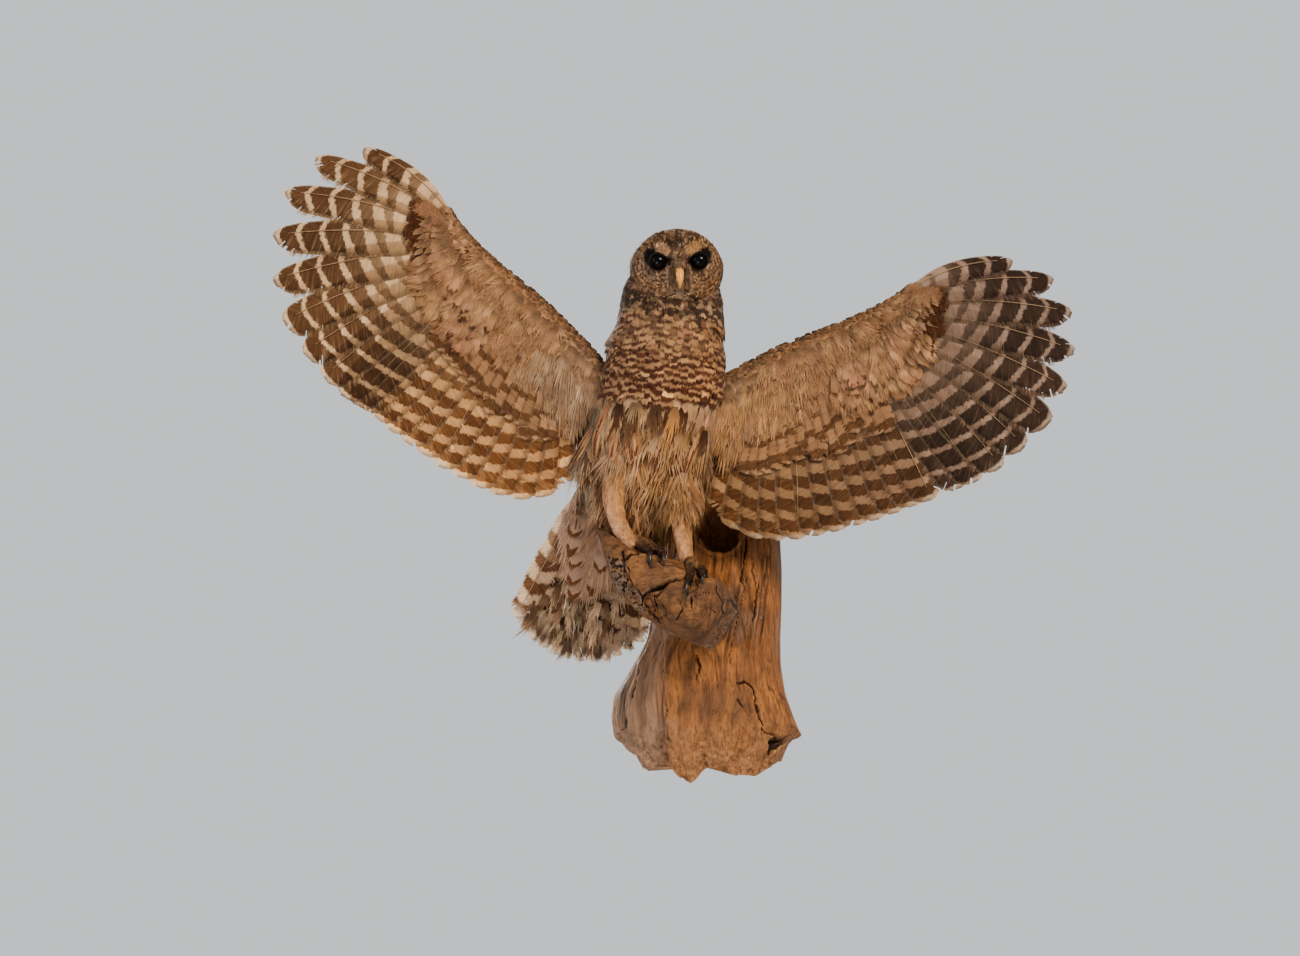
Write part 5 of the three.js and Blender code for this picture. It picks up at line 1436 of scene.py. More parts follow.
BURL = np.array([  # x, y, z, half depth, half height
    (-99, -196, 57, 4, 4), (-90, -195, 41, 14, 15), (-77, -193, 15, 27, 32), (-56, -191, -3, 36, 39),
    (-31, -186, -15, 43, 44), (-4, -172, -28, 58, 45), (14, -165, -38, 65, 45), (24, -160, -42, 68, 42),
    (34, -158, -36, 66, 35), (43, -154, -29, 60, 25), (49, -148, -27, 52, 17), (53, -142, -28, 42, 9),
    (54.5, -136, -29, 32, 3),
], float)
BURL_LEFT, BURL_RIGHT = BURL[0, 0], BURL[-1, 0]
SLAB = np.array([  # z, left edge, right edge, depth
    (-214, -88, 84, 70), (-205, -97, 92, 76), (-190, -108, 99, 83), (-168, -118, 112, 90),
    (-140, -120, 101, 93), (-110, -116, 91, 92), (-75, -97, 86, 91), (-40, -76, 86, 91),
    (0, -66, 88, 91), (45, -60, 89, 89), (95, -54, 87, 84), (145, -48, 82, 78), (182, -42, 76, 71),
    (196, -30, 64, 58),
], float)
SLAB_FOOT, SLAB_TOP = SLAB[0, 0], SLAB[-1, 0]
KNOT_X, KNOT_Z, KNOT_WIDE, KNOT_HIGH = 26, 79, 26, 28  # the knot hole's middle and half sizes


def weathering(angle, along, size):
    """Broad lumps round the wood that wind as they go along it."""
    return size * (0.5 * np.sin(3 * angle + along * 0.05) + 0.35 * np.sin(5 * angle - along * 0.083 + 1.3)
        + 0.3 * np.sin(8 * angle + along * 0.037 + 2.1))


def power(v, e):
    return np.sign(v) * np.abs(v) ** e


def burl_point(x, angle, lift=0.0):
    """A point on the burl: angle 0 is its top, and a quarter turn its front."""
    y, z, d, h = np.moveaxis(smooth_table(BURL[:, 0], BURL[:, 1:], x, 3.0), -1, 0)
    lumps = weathering(angle, x * 1.6, np.minimum(3.4, d * 0.09))
    y = y - (d + lumps + lift) * power(np.sin(angle), 0.85)
    z = z + (h + lumps + lift) * power(np.cos(angle), 0.85)
    return cols(x, y, z)


def rings_of(levels, columns):
    """Levels and angles of a grid of closed rings."""
    return np.meshgrid(levels, np.linspace(0, TAU, columns, endpoint=False), indexing="ij")


def grid_tris(rows, columns):
    """Two triangles for each cell of a grid of closed rings."""
    i, j = np.meshgrid(np.arange(rows - 1), np.arange(columns), indexing="ij")
    k = (j + 1) % columns
    below, above = i * columns, (i + 1) * columns
    q = cols(below + j, below + k, above + k, above + j).reshape(-1, 4)
    return np.concatenate([q[:, [0, 1, 2]], q[:, [0, 2, 3]]])


def close_ends(pts, rows, columns):
    """Two end fans round the middle of the first and the last ring."""
    tris = grid_tris(rows, columns)
    pts = np.concatenate([pts.reshape(-1, 3), pts.reshape(rows, columns, 3)[[0, -1]].mean(1)])
    j = np.arange(columns)
    k = (j + 1) % columns
    n = rows * columns
    last = (rows - 1) * columns
    return pts, np.concatenate([tris, cols(k, j, n), cols(last + j, last + k, n + 1)])


def facing_out(pts, tris):
    a, b, c = pts[tris[:, 0]], pts[tris[:, 1]], pts[tris[:, 2]]
    return tris if np.sum(a * np.cross(b, c)) > 0 else tris[:, ::-1]


# Cracks as routes across (x) and up (z) the front of the wood, with a width and a depth.
SLAB_CRACKS = [
    ([(46, -112), (54, -110), (62, -118), (69, -134), (70, -155), (79, -173), (94, -180)], 1.5, 5.0),
    ([(48, -135), (55, -142), (60, -151)], 0.9, 2.5),
    ([(-43, -55), (-43, -113), (-38, -154), (-40, -178)], 1.8, 4.0),
    ([(-86, -72), (-91, -99), (-98, -134), (-105, -159)], 1.6, 4.0),
    ([(-80, -80), (-84, -105), (-88, -120)], 1.2, 3.0),
    ([(-2, -75), (1, -100), (-2, -128)], 1.3, 4.5),
    ([(7, -111), (8, -129)], 1.2, 4.0),
    ([(38, -70), (40, -95)], 1.2, 4.0),
    ([(29, -168), (31, -182)], 1.0, 3.0),
    ([(56, 110), (60, 60), (55, 20), (58, -12)], 1.3, 4.5),
    ([(66, 40), (70, 0), (66, -50)], 1.2, 3.5),
]
# The ragged foot as (x, lowest z), and the pocket under the bump on its right, which is painted dark as
# shade.
FOOT = [(-120, -176), (-100, -186), (-81, -205), (-68, -207), (-50, -202), (-43, -203), (-36, -214),
    (-26, -223), (-15, -227), (-5, -222), (2, -215), (18, -212), (30, -217), (44, -220), (60, -222),
    (69, -218), (88, -207), (98, -198), (112, -178)]
POCKET = [(80, -197), (84, -181), (99, -179), (118, -174), (116, -181), (97, -189)]
BURL_CRACKS = [
    ([(15, -14), (-5, -20), (-18, -26), (-29, -32), (-39, -36)], 2.2, 6.0),
    ([(-39, -36), (-41, -45), (-34, -56), (-22, -62)], 1.6, 5.0),
    ([(-23, -35), (-24, -46), (-25, -54)], 2.0, 5.0),
    ([(-21, -37), (-17, -43), (-11, -50)], 1.6, 4.5),
    ([(18, -6), (16, -24), (16, -38)], 1.8, 5.0),
    ([(22, -14), (25, -26), (17, -37)], 1.1, 3.0),
    ([(22, -40), (21, -50), (25, -58)], 1.9, 5.0),
    ([(26, -38), (34, -35), (42, -34)], 0.9, 2.0),
    ([(33, -54), (41, -50)], 1.1, 3.0),
    ([(7, -43), (9, -54), (4, -62)], 0.8, 1.5),
    ([(-66, 24), (-58, 14), (-46, 16)], 1.8, 4.0),
    ([(-46, 22), (-44, 14)], 1.3, 3.0),
    ([(-57, 2), (-50, -22), (-38, -34)], 1.6, 4.0),
    ([(38, -8), (46, -13), (49, -24), (49, -38), (44, -52), (35, -68)], 1.5, 4.0),
]
# Raised and sunken forms on the burl's front: an outline, a height and the width of its edge.
BURL_FORMS = [
    ([(-53, 13), (-43, 18), (-29, 17), (-10, 2), (13, -4), (17, -9), (15, -14), (-5, -20), (-37, -33),
        (-47, -23), (-57, 0)], 4.0, 2.5),
    ([(-5, -20), (-18, -25), (-39, -34), (-41, -45), (-34, -56), (-22, -62), (-11, -61), (-10, -52),
        (-21, -38)], -5.0, 2.0),
    ([(-37, -40), (-30, -38), (-26, -48), (-28, -54), (-34, -51)], 4.5, 3.0),
    ([(-17, -35), (-10, -26), (1, -25), (8, -40), (2, -54), (-8, -53), (-14, -45)], 4.0, 7.0),
    ([(31, -11), (46, -11), (53, -22), (52, -40), (44, -56), (34, -72), (27, -80), (23, -60),
        (25, -38)], 3.0, 3.5),
    ([(-64, 25), (-57, 27), (-45, 21), (-46, 15), (-58, 14)], 3.5, 3.0),
    ([(-96, 55), (-82, 52), (-70, 34), (-68, 24), (-76, 24), (-89, 40)], 2.5, 3.0),
]
CRUST = [(-88, 22), (-77, 18), (-60, 14), (-57, 0), (-50, -23), (-39, -35), (-42, -47), (-31, -60),
    (-46, -52), (-63, -35), (-77, -11)]


def crackle(x, z, cracks, seed):
    """How deep the cracks are at points on the front, and how dark they are painted: a painted shade in the
    cracks.
    """
    q = cols(x, 0, z)
    x = x + 2.2 * cloud(q, 13, seed, 3)
    z = z + 2.2 * cloud(q, 13, seed + 5, 3)
    depth, dark = 0 * x, 0 * x
    for route, width, deep in cracks:
        near = np.min([segment_distance(x, z, start, end) for start, end in zip(route, route[1:])], axis=0)
        width = width * np.clip(0.85 + 0.9 * cloud(q, 21, seed + 9, 2), 0.35, 1.6)
        line = np.exp(-((near / width) ** 2)) * np.clip(0.8 + 0.8 * cloud(q, 30, seed + 3, 2), 0.1, 1)
        lips = np.exp(-(((near - 2.6 * width) / (1.5 * width)) ** 2))
        depth = np.maximum(depth, line * deep) - 0.16 * lips * deep * (depth < 1)
        dark = np.maximum(dark, np.exp(-((near / width) ** 2) * 2.2) * line)
    return depth, dark


def slab_mesh():
    rows, columns = 330, 290
    z = np.linspace(SLAB_FOOT, SLAB_TOP, rows)[:, None]
    left, right, depth = np.moveaxis(smooth_table(SLAB[:, 0], SLAB[:, 1:], z[:, 0], 6.0), -1, 0)[:, :, None]
    front = 250
    angle = np.linspace(0, math.pi, front)[None]
    middle, half = (left + right) / 2, (right - left) / 2
    c, s = np.cos(angle), np.sin(angle)
    lumps = weathering(angle * 2.2, z, 3.4) * s
    x = middle + half * power(c, 0.75)
    y = -(depth + lumps) * np.maximum(s, 0) ** 0.62
    foot = ramp(-140, -212, z)
    # Grain: furrows that wind up the wood, with finer ribs, and a worn, pitted foot.
    wind = 9 * np.sin(z * 0.013 + 1) + 5 * np.sin(z * 0.031)
    arc = angle * 95 + wind
    q = cols(arc, 0, z)
    ribs = cloud(q * [1, 1, 0.07], 11, 3, 4) + 0.5 * cloud(q * [1, 1, 0.05], 3.4, 9, 3)
    worn = cloud(q, 9, 77, 4)
    relief = mix(1.5 * ribs, 2.2 * worn, foot * 0.8) + 2.4 * cloud(q, 38, 14, 3)
    relief = relief + 4.5 * foot * cloud(q * [1, 1, 0.5], 30, 62, 2)
    deep, dark = crackle(x, z + 0 * x, SLAB_CRACKS, 81)
    # The pocket is cut in and painted dark, a painted shade in the recess.
    pocket = ramp(2, -3, outline_distance(x, z + 0 * x, POCKET) + 1.5 * cloud(q, 8, 44, 2))
    deep, dark = deep + 15 * pocket, np.maximum(dark, pocket)
    split = 1 - np.abs(cloud(q * [1, 1, 0.08], 19, 21, 3)) * 10
    split = np.clip(split, 0, 1) * ramp(-0.1, 0.15, cloud(q * [1, 1, 0.4], 50, 5, 2)) * (1 - foot)
    relief -= 2.4 * split
    side = ramp(0.1, 0.5, s)
    relief -= deep * side + 6.5 * ramp(-41, -47, x) * ramp(-30, -60, z) * side
    relief *= np.clip(s * 4, 0, 1)
    x = x + relief * c * 0.9
    y = np.minimum(y - relief * s, 0)
    lowest = smooth_table([f[0] for f in FOOT], [f[1:] for f in FOOT], x, 2.5)[..., 0]
    above = lowest - SLAB_FOOT
    ragged = above + 2.5 * cloud(cols(x, y * 0.6, 0), 13, 90, 4)
    ragged = ragged + 16 * ramp(-60, 0, y) * ramp(30, 12, above)
    zz = z + 0 * angle + ragged * ramp(-152, SLAB_FOOT, z)
    # The knot hole: a bowl with a raised lip.
    r = np.hypot((x - KNOT_X) / KNOT_WIDE, (zz - KNOT_Z) / KNOT_HIGH) * (1 + 0.09 * cloud(q, 13, 31, 2))
    y = np.where(r < 1, np.maximum(y, -86 + 44 * np.sqrt(np.clip(1 - r * r, 0, 1))), y)
    y = y - 2.0 * np.exp(-(((r - 1.14) / 0.12) ** 2)) * (r > 0.95)
    back = np.linspace(0, 1, columns - front + 2)[1:-1][None]
    bx = x[:, -1:] + (x[:, :1] - x[:, -1:]) * back
    bz = zz[:, -1:] + (zz[:, :1] - zz[:, -1:]) * back
    pts = cols(np.concatenate([x, bx], 1), np.concatenate([y, 0 * bx], 1), np.concatenate([zz, bz], 1))
    grey = np.clip(ramp(-30, -60, x) * 0.9 + ramp(0.2, 0.9, cloud(q, 40, 55, 3)) * 0.35, 0, 1)
    # Of the three channels, the first is painted shade in the cracks and splits, the second the worn foot,
    # and the third grey weathering.
    wear = cols(np.maximum(dark * side, 0.8 * split), foot, np.maximum(grey, 0))
    wear = np.concatenate([wear, np.zeros((rows, columns - front, 3))], 1).reshape(-1, 3)
    verts, tris = close_ends(pts, rows, columns)
    return verts, tris, np.concatenate([wear, np.zeros((2, 3))])


def burl_mesh():
    rows, columns = 290, 280
    x = (BURL_LEFT + (BURL_RIGHT - BURL_LEFT) * np.linspace(0, 1, rows) ** 0.9)[:, None]
    turn_at = np.linspace(0, TAU, columns, endpoint=False)[None]
    x, angle = np.broadcast_arrays(x, turn_at)
    p = burl_point(x, angle)
    z = p[..., 2]
    on_front = ramp(0.1, 0.5, np.sin(angle))
    deep, dark = crackle(x, z, BURL_CRACKS, 33)
    shift = 1.8 * cloud(p, 14, 91, 3)
    relief = 1.0 * cloud(p * [0.3, 1, 1], 7, 41, 4) + 1.2 * cloud(p, 24, 50, 3)
    for outline, height, bevel in BURL_FORMS:
        near = outline_distance(x + shift, z + shift, outline)
        relief += on_front * height * ramp(bevel * 0.5, -bevel, near)
    # A pitted crust on the left of the smooth upper face, and under it.
    crust = np.maximum(ramp(2, -3, outline_distance(x + shift, z + shift, CRUST)) * on_front,
        ramp(0.1, -0.4, np.cos(angle)) * ramp(0.35, -0.1, np.sin(angle)) * 0.7)
    pits = cloud(p, 5.0, 70, 4)
    relief += crust * (1.6 * pits - 7.0 * np.clip(pits - 0.05, 0, 0.6) - 1.5)
    relief -= deep * on_front
    middle = smooth_table(BURL[:, 0], BURL[:, 1:3], x[:, 0], 3.0)
    centre = cols(x, middle[:, :1], middle[:, 1:])
    fade = np.clip(np.minimum((x - BURL_LEFT) / 12, (BURL_RIGHT - x) / 6), 0, 1)
    p = p + unit(p - centre) * (relief * fade)[..., None]
    # Painted shade in the cracks, and in the deepest pits of the crust, which is dark of itself.
    dark = np.maximum(dark * on_front, 0.4 * crust * ramp(0.1, 0.4, pits))
    rim = ramp(0.35, -0.25, np.sin(angle)) * 0.6
    wear = cols(dark, crust, np.maximum(crust, rim) * ramp(-0.3, 0.3, cloud(p, 9, 12, 3))).reshape(-1, 3)
    verts, tris = close_ends(p, rows, columns)
    # The middle of the far end is painted dark, a painted shade for the gap against the slab.
    return verts, tris, np.concatenate([wear, [[0, 0, 0], [1, 0, 0]]])


def driftwood(name, along, tint, contrast):
    """Weathered wood. The mesh says where it is worn and grey, and where shade is painted into its cracks,
    splits and pits.
    """
    m = Tree(name)
    place = m.place()
    painted_crack_shade, worn, grey = m.split(m.attribute("wear"))
    bend = (m.noise(place, 9.0, 2.0) - 0.5) * 0.03
    moved = m.read("VectorMath", {0: place, 1: m.join(bend, bend, 0.0)}, operation="ADD")
    stretch = (1, 1, 0.1) if along == "z" else (0.3, 1, 0.8)
    grain_at = m.scaled(moved, *stretch)
    broad = m.noise(grain_at, 60.0, 5.0, 0.6)
    fine = m.noise(grain_at, 420.0, 4.0, 0.65)
    patch = m.noise(place, 16.0, 4.0, 0.6)
    spots = m.noise(place, 150.0, 5.0, 0.7)
    broad = m.read("Mix", {0: worn, 2: broad, 3: spots})
    colour = m.blend(m.step(0.3, 0.72, broad), rgb(92, 56, 32), rgb(160, 108, 64))
    colour = m.blend(m.step(0.4, 0.7, patch, 0.0, 0.6), colour, rgb(170, 112, 64))
    colour = m.blend(worn * 0.55, colour, m.blend(m.step(0.3, 0.7, spots), rgb(130, 90, 60),
        rgb(180, 134, 96)))
    colour = m.blend(m.step(0.5, 0.3, patch, 0.0, 0.5), colour, rgb(96, 68, 48))
    blotch = m.noise(place, 52.0, 5.0, 0.7)
    colour = m.blend(m.step(0.52, 0.66, blotch, 0.0, 0.4), colour, rgb(76, 48, 32))
    colour = m.blend(m.step(0.55, 0.3, fine, 0.0, 0.6), colour, rgb(56, 34, 22))
    lines = m.cracks(m.scaled(moved, stretch[0], stretch[1], stretch[2] * 0.6), 36.0)
    seams = m.step(0.06, 0.0, lines) * m.step(0.42, 0.6, patch)
    colour = m.blend(seams * (0.62 - worn * 0.4), colour, rgb(34, 20, 13))
    colour = m.blend(m.step(0.62, 0.72, spots, 0.0, 0.3), colour, rgb(190, 146, 104))
    colour = m.blend(grey * 0.75, colour, m.blend(m.step(0.3, 0.7, broad), rgb(94, 74, 60),
        rgb(160, 130, 108)))
    holes = m.step(0.36, 0.28, m.noise(grain_at, 130.0, 3.0, 0.7), 0.0, 0.6)
    # Painted shade: the cracks, splits, pits and pockets that the mesh marks are painted near black.
    dark = m.math("MAXIMUM", m.step(0.25 / contrast, 0.8 / contrast, painted_crack_shade), holes)
    colour = m.blend(dark * 0.9, colour, rgb(20, 13, 9))
    # Painted shade and highlight: the wood is darkened where its surface is hollow and lightened on its
    # sharp ridges.
    hollow = m.hollow()
    colour = m.blend(m.step(0.5, 0.44, hollow, 0.0, 0.7 * contrast), colour, rgb(38, 24, 16))
    colour = m.blend(m.step(0.52, 0.6, hollow, 0.0, 0.35 * contrast), colour, rgb(204, 164, 122))
    colour = m.blend(1.0, colour, tint, "MULTIPLY")
    height = fine * 0.6 + (spots * 0.7 + dark * -1.0)
    rough = m.step(0.3, 0.7, broad, 0.62, 0.85)
    return m.finish(Base_Color=colour, Roughness=rough, Specular_IOR_Level=0.3,
        Normal=m.bump(height, 0.6, 0.0013))


# ------------------------------------------------------------------ legs, toes and claws

LEGS = {  # x, y, z and radius from the hip down, in the bird frame
    -1: [(-24, -8, -112, 24), (-29, -24, -145, 19), (-30, -32, -180, 13.5), (-19, -37, -208, 12),
        (0, -40, -229, 10.5)],
    1: [(36, -4, -130, 26), (46, -18, -162, 20), (53, -28, -188, 14), (60, -34, -213, 12),
        (67, -38, -235, 10.5)],
}
TOE_RADIUS = [8.5, 7.6, 6.6, 5.2]
TOES = {  # places along the burl, turns round it, and the claw's end
    -1: [
        ([-56, -46, -35, -29], [0.05, 0.35, 0.6, 0.86], (-26, 1.36)),
        ([-52, -38, -24, -14], [0, 0.18, 0.42, 0.72], (-10, 1.2)),
        ([-58, -62, -66, -68], [-0.1, -0.5, -0.9, -1.2], (-69, -1.75)),
        ([-54, -47, -41, -37], [-0.1, -0.45, -0.85, -1.15], (-35, -1.65)),
    ],
    1: [
        ([8, 13, 17, 18], [0.05, 0.4, 0.85, 1.15], (15, 1.7)),
        ([10, 21, 29, 33], [0, 0.25, 0.6, 0.9], (34, 1.35)),
        ([4, -2, -8, -12], [-0.1, -0.35, -0.6, -0.8], (-15, -1.2)),
        ([10, 16, 20, 22], [-0.1, -0.35, -0.6, -0.78], (24, -1.15)),
    ],
}
CLAW_RADIUS = [3.3, 3.0, 2.5, 1.8, 1.0, 0.3]
GOLDEN_TURN = 2.39996


def tube(stations, q, angle, shrink=0.0):
    """A point round a smooth tube: q from 0 to 1 along its stations, angle round it."""
    st = np.asarray(stations, float)
    keys = np.linspace(0, 1, len(st))

    def centre(v):
        return smooth_table(keys, st, np.clip(v, 0, 1), 0.06)

    c = centre(q)
    ahead, behind = centre(q + 0.03)[..., :3], centre(q - 0.03)[..., :3]
    along = unit(ahead - behind)
    side = unit(np.cross(np.array([1.0, 0.2, 0.1]), along))
    other = np.cross(along, side)
    out = np.cos(angle)[..., None] * side + np.sin(angle)[..., None] * other
    return c[..., :3] + out * np.maximum(c[..., 3:] - shrink, 0.2), out, along


def toe_stations(side, index):
    """A toe from near the ankle on over the burl, as x, y, z and radius."""
    x, turns, _ = TOES[side][index]
    toe = [(*burl_point(np.array([float(a)]), np.array([b]), r * 0.72)[0], r)
        for a, b, r in zip(x, turns, TOE_RADIUS)]
    ankle = leg_stations(side)[-1, :3]
    return [(*(ankle * 0.4 + np.array(toe[0][:3]) * 0.6), 9.5)] + toe


def claw_stations(side, index):
    x, turns, (end_x, end_turn) = TOES[side][index]
    out = []
    for i, r in enumerate(CLAW_RADIUS):
        q = i / 5
        lift = 3.6 * (1 - q) + 5 * math.sin(math.pi * q) + 0.9 * q
        over_x = x[-1] + (end_x - x[-1]) * q
        over_turn = turns[-1] - 0.04 + (end_turn - turns[-1] + 0.04) * q
        out.append((*burl_point(np.array([over_x]), np.array([over_turn]), lift)[0], r))
    return out


def leg_stations(side):
    st = np.array(LEGS[side], float)
    return np.concatenate([bird(st[:, :3]), st[:, 3:]], 1)


def leg_uv(q, angle, number):
    return cols(0.02 + 0.46 * angle / TAU + 0.5 * number, 0.3 + 0.68 * q)


def leg_coat():
    """Short fur on the legs and toes, with longer feathers over the thighs."""
    coat = Coat()
    for number, side in enumerate((-1, 1)):
        st = leg_stations(side)
        count = 1700 if side < 0 else 1100
        q = (np.arange(count) + 0.5) / count
        q = 0.2 + 0.8 * q if side < 0 else 0.42 + 0.58 * q
        angle = (np.arange(count) * GOLDEN_TURN) % TAU
        p, out, along = tube(st, q, angle, 3.2)
        painted_lit_side = ramp(-0.8, 0.8, out[:, 0])
        tone = mix(mix(WHITE, rgb(240, 180, 130), 0.7), mix(CREAM, ORANGE, 0.75), painted_lit_side) * 1.2
        tone = mix(tone, mix(WARM, BROWN, 0.2), (rng.random(count) < 0.2) * 0.5)
        coat.add(p, along + rng.normal(0, 0.2, (count, 3)), out,
            mix(18, 9.5, ramp(0.2, 0.7, q)) * rng.uniform(0.85, 1.15, count), mix(8, 5, q), (tone, 0.1),
            (BROWN, 0.1), leg_uv(q, angle, number), "fur", form=(0, 0.1, 0.12), rise=0.3, bend=0.18,
            jitter=0.12)
        # Thigh feathers, much longer on the leg that the belly hangs over.
        count = 420 if side > 0 else 130
        q = rng.uniform(0.0, 0.4 if side > 0 else 0.2, count)
        angle = rng.uniform(0, TAU, count)
        p, out, along = tube(st, q, angle, 2.0)
        # Painted light: the thighs on the window's side are mixed paler and greyer, and those on the key
        # light's side buffer and more orange.
        tone = mix(mix(BUFF, mix(ORANGE, WARM, 0.3), rng.random(count)),
            mix(mix(GREY, ROSE, 0.5), CREAM, 0.4),
            np.clip((0.6 if side < 0 else 0.2) + 0.2 * rng.normal(size=count), 0, 1)) * 0.92
        streaked = rng.random(count) < 0.22
        coat.add(p, along * 0.6 - BIRD_TURN[:, 2] * 0.7 + rng.normal(0, 0.16, (count, 3)), out,
            rng.uniform(36, 54, count) * (1 - q), (11, 16), (tone, 0.18), (mix(DARK, BROWN, 0.3), 0.1),
            leg_uv(q, angle, number), "soft",
            layout=cols(np.where(streaked, 0.3, 0), 0.2, 2.0), form=(0, 0.1, 0), rise=0.22, bend=0.12,
            hook=(0, 0.1), jitter=0.16)
        for index in range(4):
            count = 300
            q = (np.arange(count) + 0.5) / count
            angle = (np.arange(count) * GOLDEN_TURN) % TAU
            p, out, along = tube(toe_stations(side, index), q * 0.97, angle, 1.6)
            # The toe fur darkens to umber towards the claws. This is partly the fur's own colour and partly
            # a painted shade where the toes grip the burl.
            tone = mix(mix(WARM, BUFF, 0.5), UMBER,
                np.clip(ramp(0.3, 0.85, q) + 0.25 * rng.normal(size=count), 0, 1))
            uv = cols(0.02 + 0.11 * angle / TAU + 0.12 * index + 0.5 * number, 0.02 + 0.26 * q)
            coat.add(p, along + rng.normal(0, 0.25, (count, 3)), out, (5, 8), (2.2, 3.4), (tone, 0.2),
                (DARK, 0.1), uv, "fur", form=(0, 0, 0.2), rise=0.3, bend=0.18, jitter=0.12)
    return coat


def tube_mesh(stations, rows, columns):
    q, angle = rings_of(np.linspace(0, 1, rows), columns)
    return close_ends(tube(stations, q, angle)[0], rows, columns)


# ------------------------------------------------------------------ skin


def skin(coats):
    solids = [bird(body_point(*rings_of(np.linspace(88, -228, 60), 64)))]
    solids.append(head_to_part(head_point(*rings_of(np.linspace(0.06, math.pi - 0.06, 40), 72))))
    section = np.array([(0, 0), (0.05, 0.6), (0.2, 0.88), (0.5, 0.5), (0.8, 0.22), (0.97, 0.1),
        (0.97, -0.1), (0.8, -0.22), (0.5, -0.5), (0.2, -0.88), (0.05, -0.6)])
    s = np.linspace(-50, 222, 40)
    lead, back, half = flesh(s)
    for mirror in (1, -1):
        t = lead[:, None] + (back - lead)[:, None] * (0.02 + 0.95 * section[:, 0])[None]
        solids.append(bird(wing_point(s[:, None], t, section[:, 1][None] * half[:, None], mirror)))
    a = np.linspace(0, TAU, 64, endpoint=False)
    c, s = np.cos(a), np.sin(a)
    solids.append(bird([cols(x + w * c, y + np.where(s < 0, f, b) * s, z) for z, x, y, w, f, b in RUMP]))
    for side in (-1, 1):
        q, angle = rings_of(np.linspace(0, 1, 24), 20)
        solids.append(tube(leg_stations(side), q, angle, 3.2)[0])
        for index in range(4):
            solids.append(tube(toe_stations(side, index), q, angle, 1.6)[0])
    verts, tris, count = [], [], 0
    for pts in solids:
        rows, columns, _ = pts.shape
        v, t = close_ends(pts, rows, columns)
        t = facing_out(v - v.mean(0), t)
        verts.append(v)
        tris.append(t + count)
        count += len(v)
    me = new_mesh("skin", np.concatenate(verts), np.concatenate(tris))
    o = bpy.data.objects.new("skin_raw", me)
    bpy.context.collection.objects.link(o)
    remesh = o.modifiers.new("remesh", "REMESH")
    remesh.mode, remesh.voxel_size = "VOXEL", 0.0026
    relax = o.modifiers.new("relax", "SMOOTH")
    relax.factor, relax.iterations = 0.6, 5
    depsgraph = bpy.context.evaluated_depsgraph_get()
    baked = bpy.data.meshes.new_from_object(o.evaluated_get(depsgraph))
    bpy.data.objects.remove(o)
    baked.name = "skin"
    baked.shade_smooth()
    # The skin takes its colour from the feathers that root in it.
    roots = np.concatenate([r for r, _ in coats])
    shades = np.concatenate([c for _, c in coats])
    tree = KDTree(len(roots))
    for i, r in enumerate(roots):
        tree.insert(r, i)
    tree.balance()
    co = np.empty(len(baked.vertices) * 3)
    baked.vertices.foreach_get("co", co)
    co = co.reshape(-1, 3) / MM
    colour = np.array([shades[[i for _, i, _ in tree.find_n(p, 3)]].mean(0) for p in co])
    layer = baked.attributes.new("ground", "FLOAT_VECTOR", "POINT")
    layer.data.foreach_set("vector", colour.astype(np.float32).ravel())
    m = Tree("skin")
    place = m.place()
    fluff = m.noise(m.scaled(place, 1, 1, 0.35), 420.0, 4.0, 0.6)
    tone = m.blend(m.step(0.35, 0.7, fluff, 0.2, 0.75), m.attribute("ground"),
        m.blend(1.0, m.attribute("ground"), (0.4, 0.34, 0.3), "MULTIPLY"))
    material = m.finish(Base_Color=tone, Roughness=0.9, Specular_IOR_Level=0.15,
        Normal=m.bump(fluff, 0.6, 0.001))
    return piece("skin", baked, material, "plumage", "head", "neck", "torso", "leg_left", "leg_right",
        "foot_left", "foot_right")


# ------------------------------------------------------------------ eyes, lids and bill


def revolve(profile, centre, columns=48):
    """Rings round the -y axis from (radius, reach) pairs, in the head frame."""
    a = np.linspace(0, TAU, columns, endpoint=False)
    c, s = np.cos(a), np.sin(a)
    return np.stack([cols(centre[0] + r * c, centre[1] - reach, centre[2] + r * s) for r, reach in profile])


def eye_material():
    m = Tree("eye")
    x, y, _ = m.split(m.uv("iris"))
    ring = m.step(0.44, 0.5, x)
    fibres = m.noise(m.join(y * 60.0, x * 3.0, 0.0), 1.0, 3.0)
    iris = m.blend(m.step(0.3, 0.7, fibres), rgb(16, 9, 6), rgb(40, 22, 13))
    colour = m.blend(ring, (0.002, 0.002, 0.002), iris)
    colour = m.blend(m.step(0.8, 0.9, x), colour, (0.004, 0.003, 0.003))
    return m.finish(Base_Color=colour, Roughness=0.1, Specular_IOR_Level=0.16)


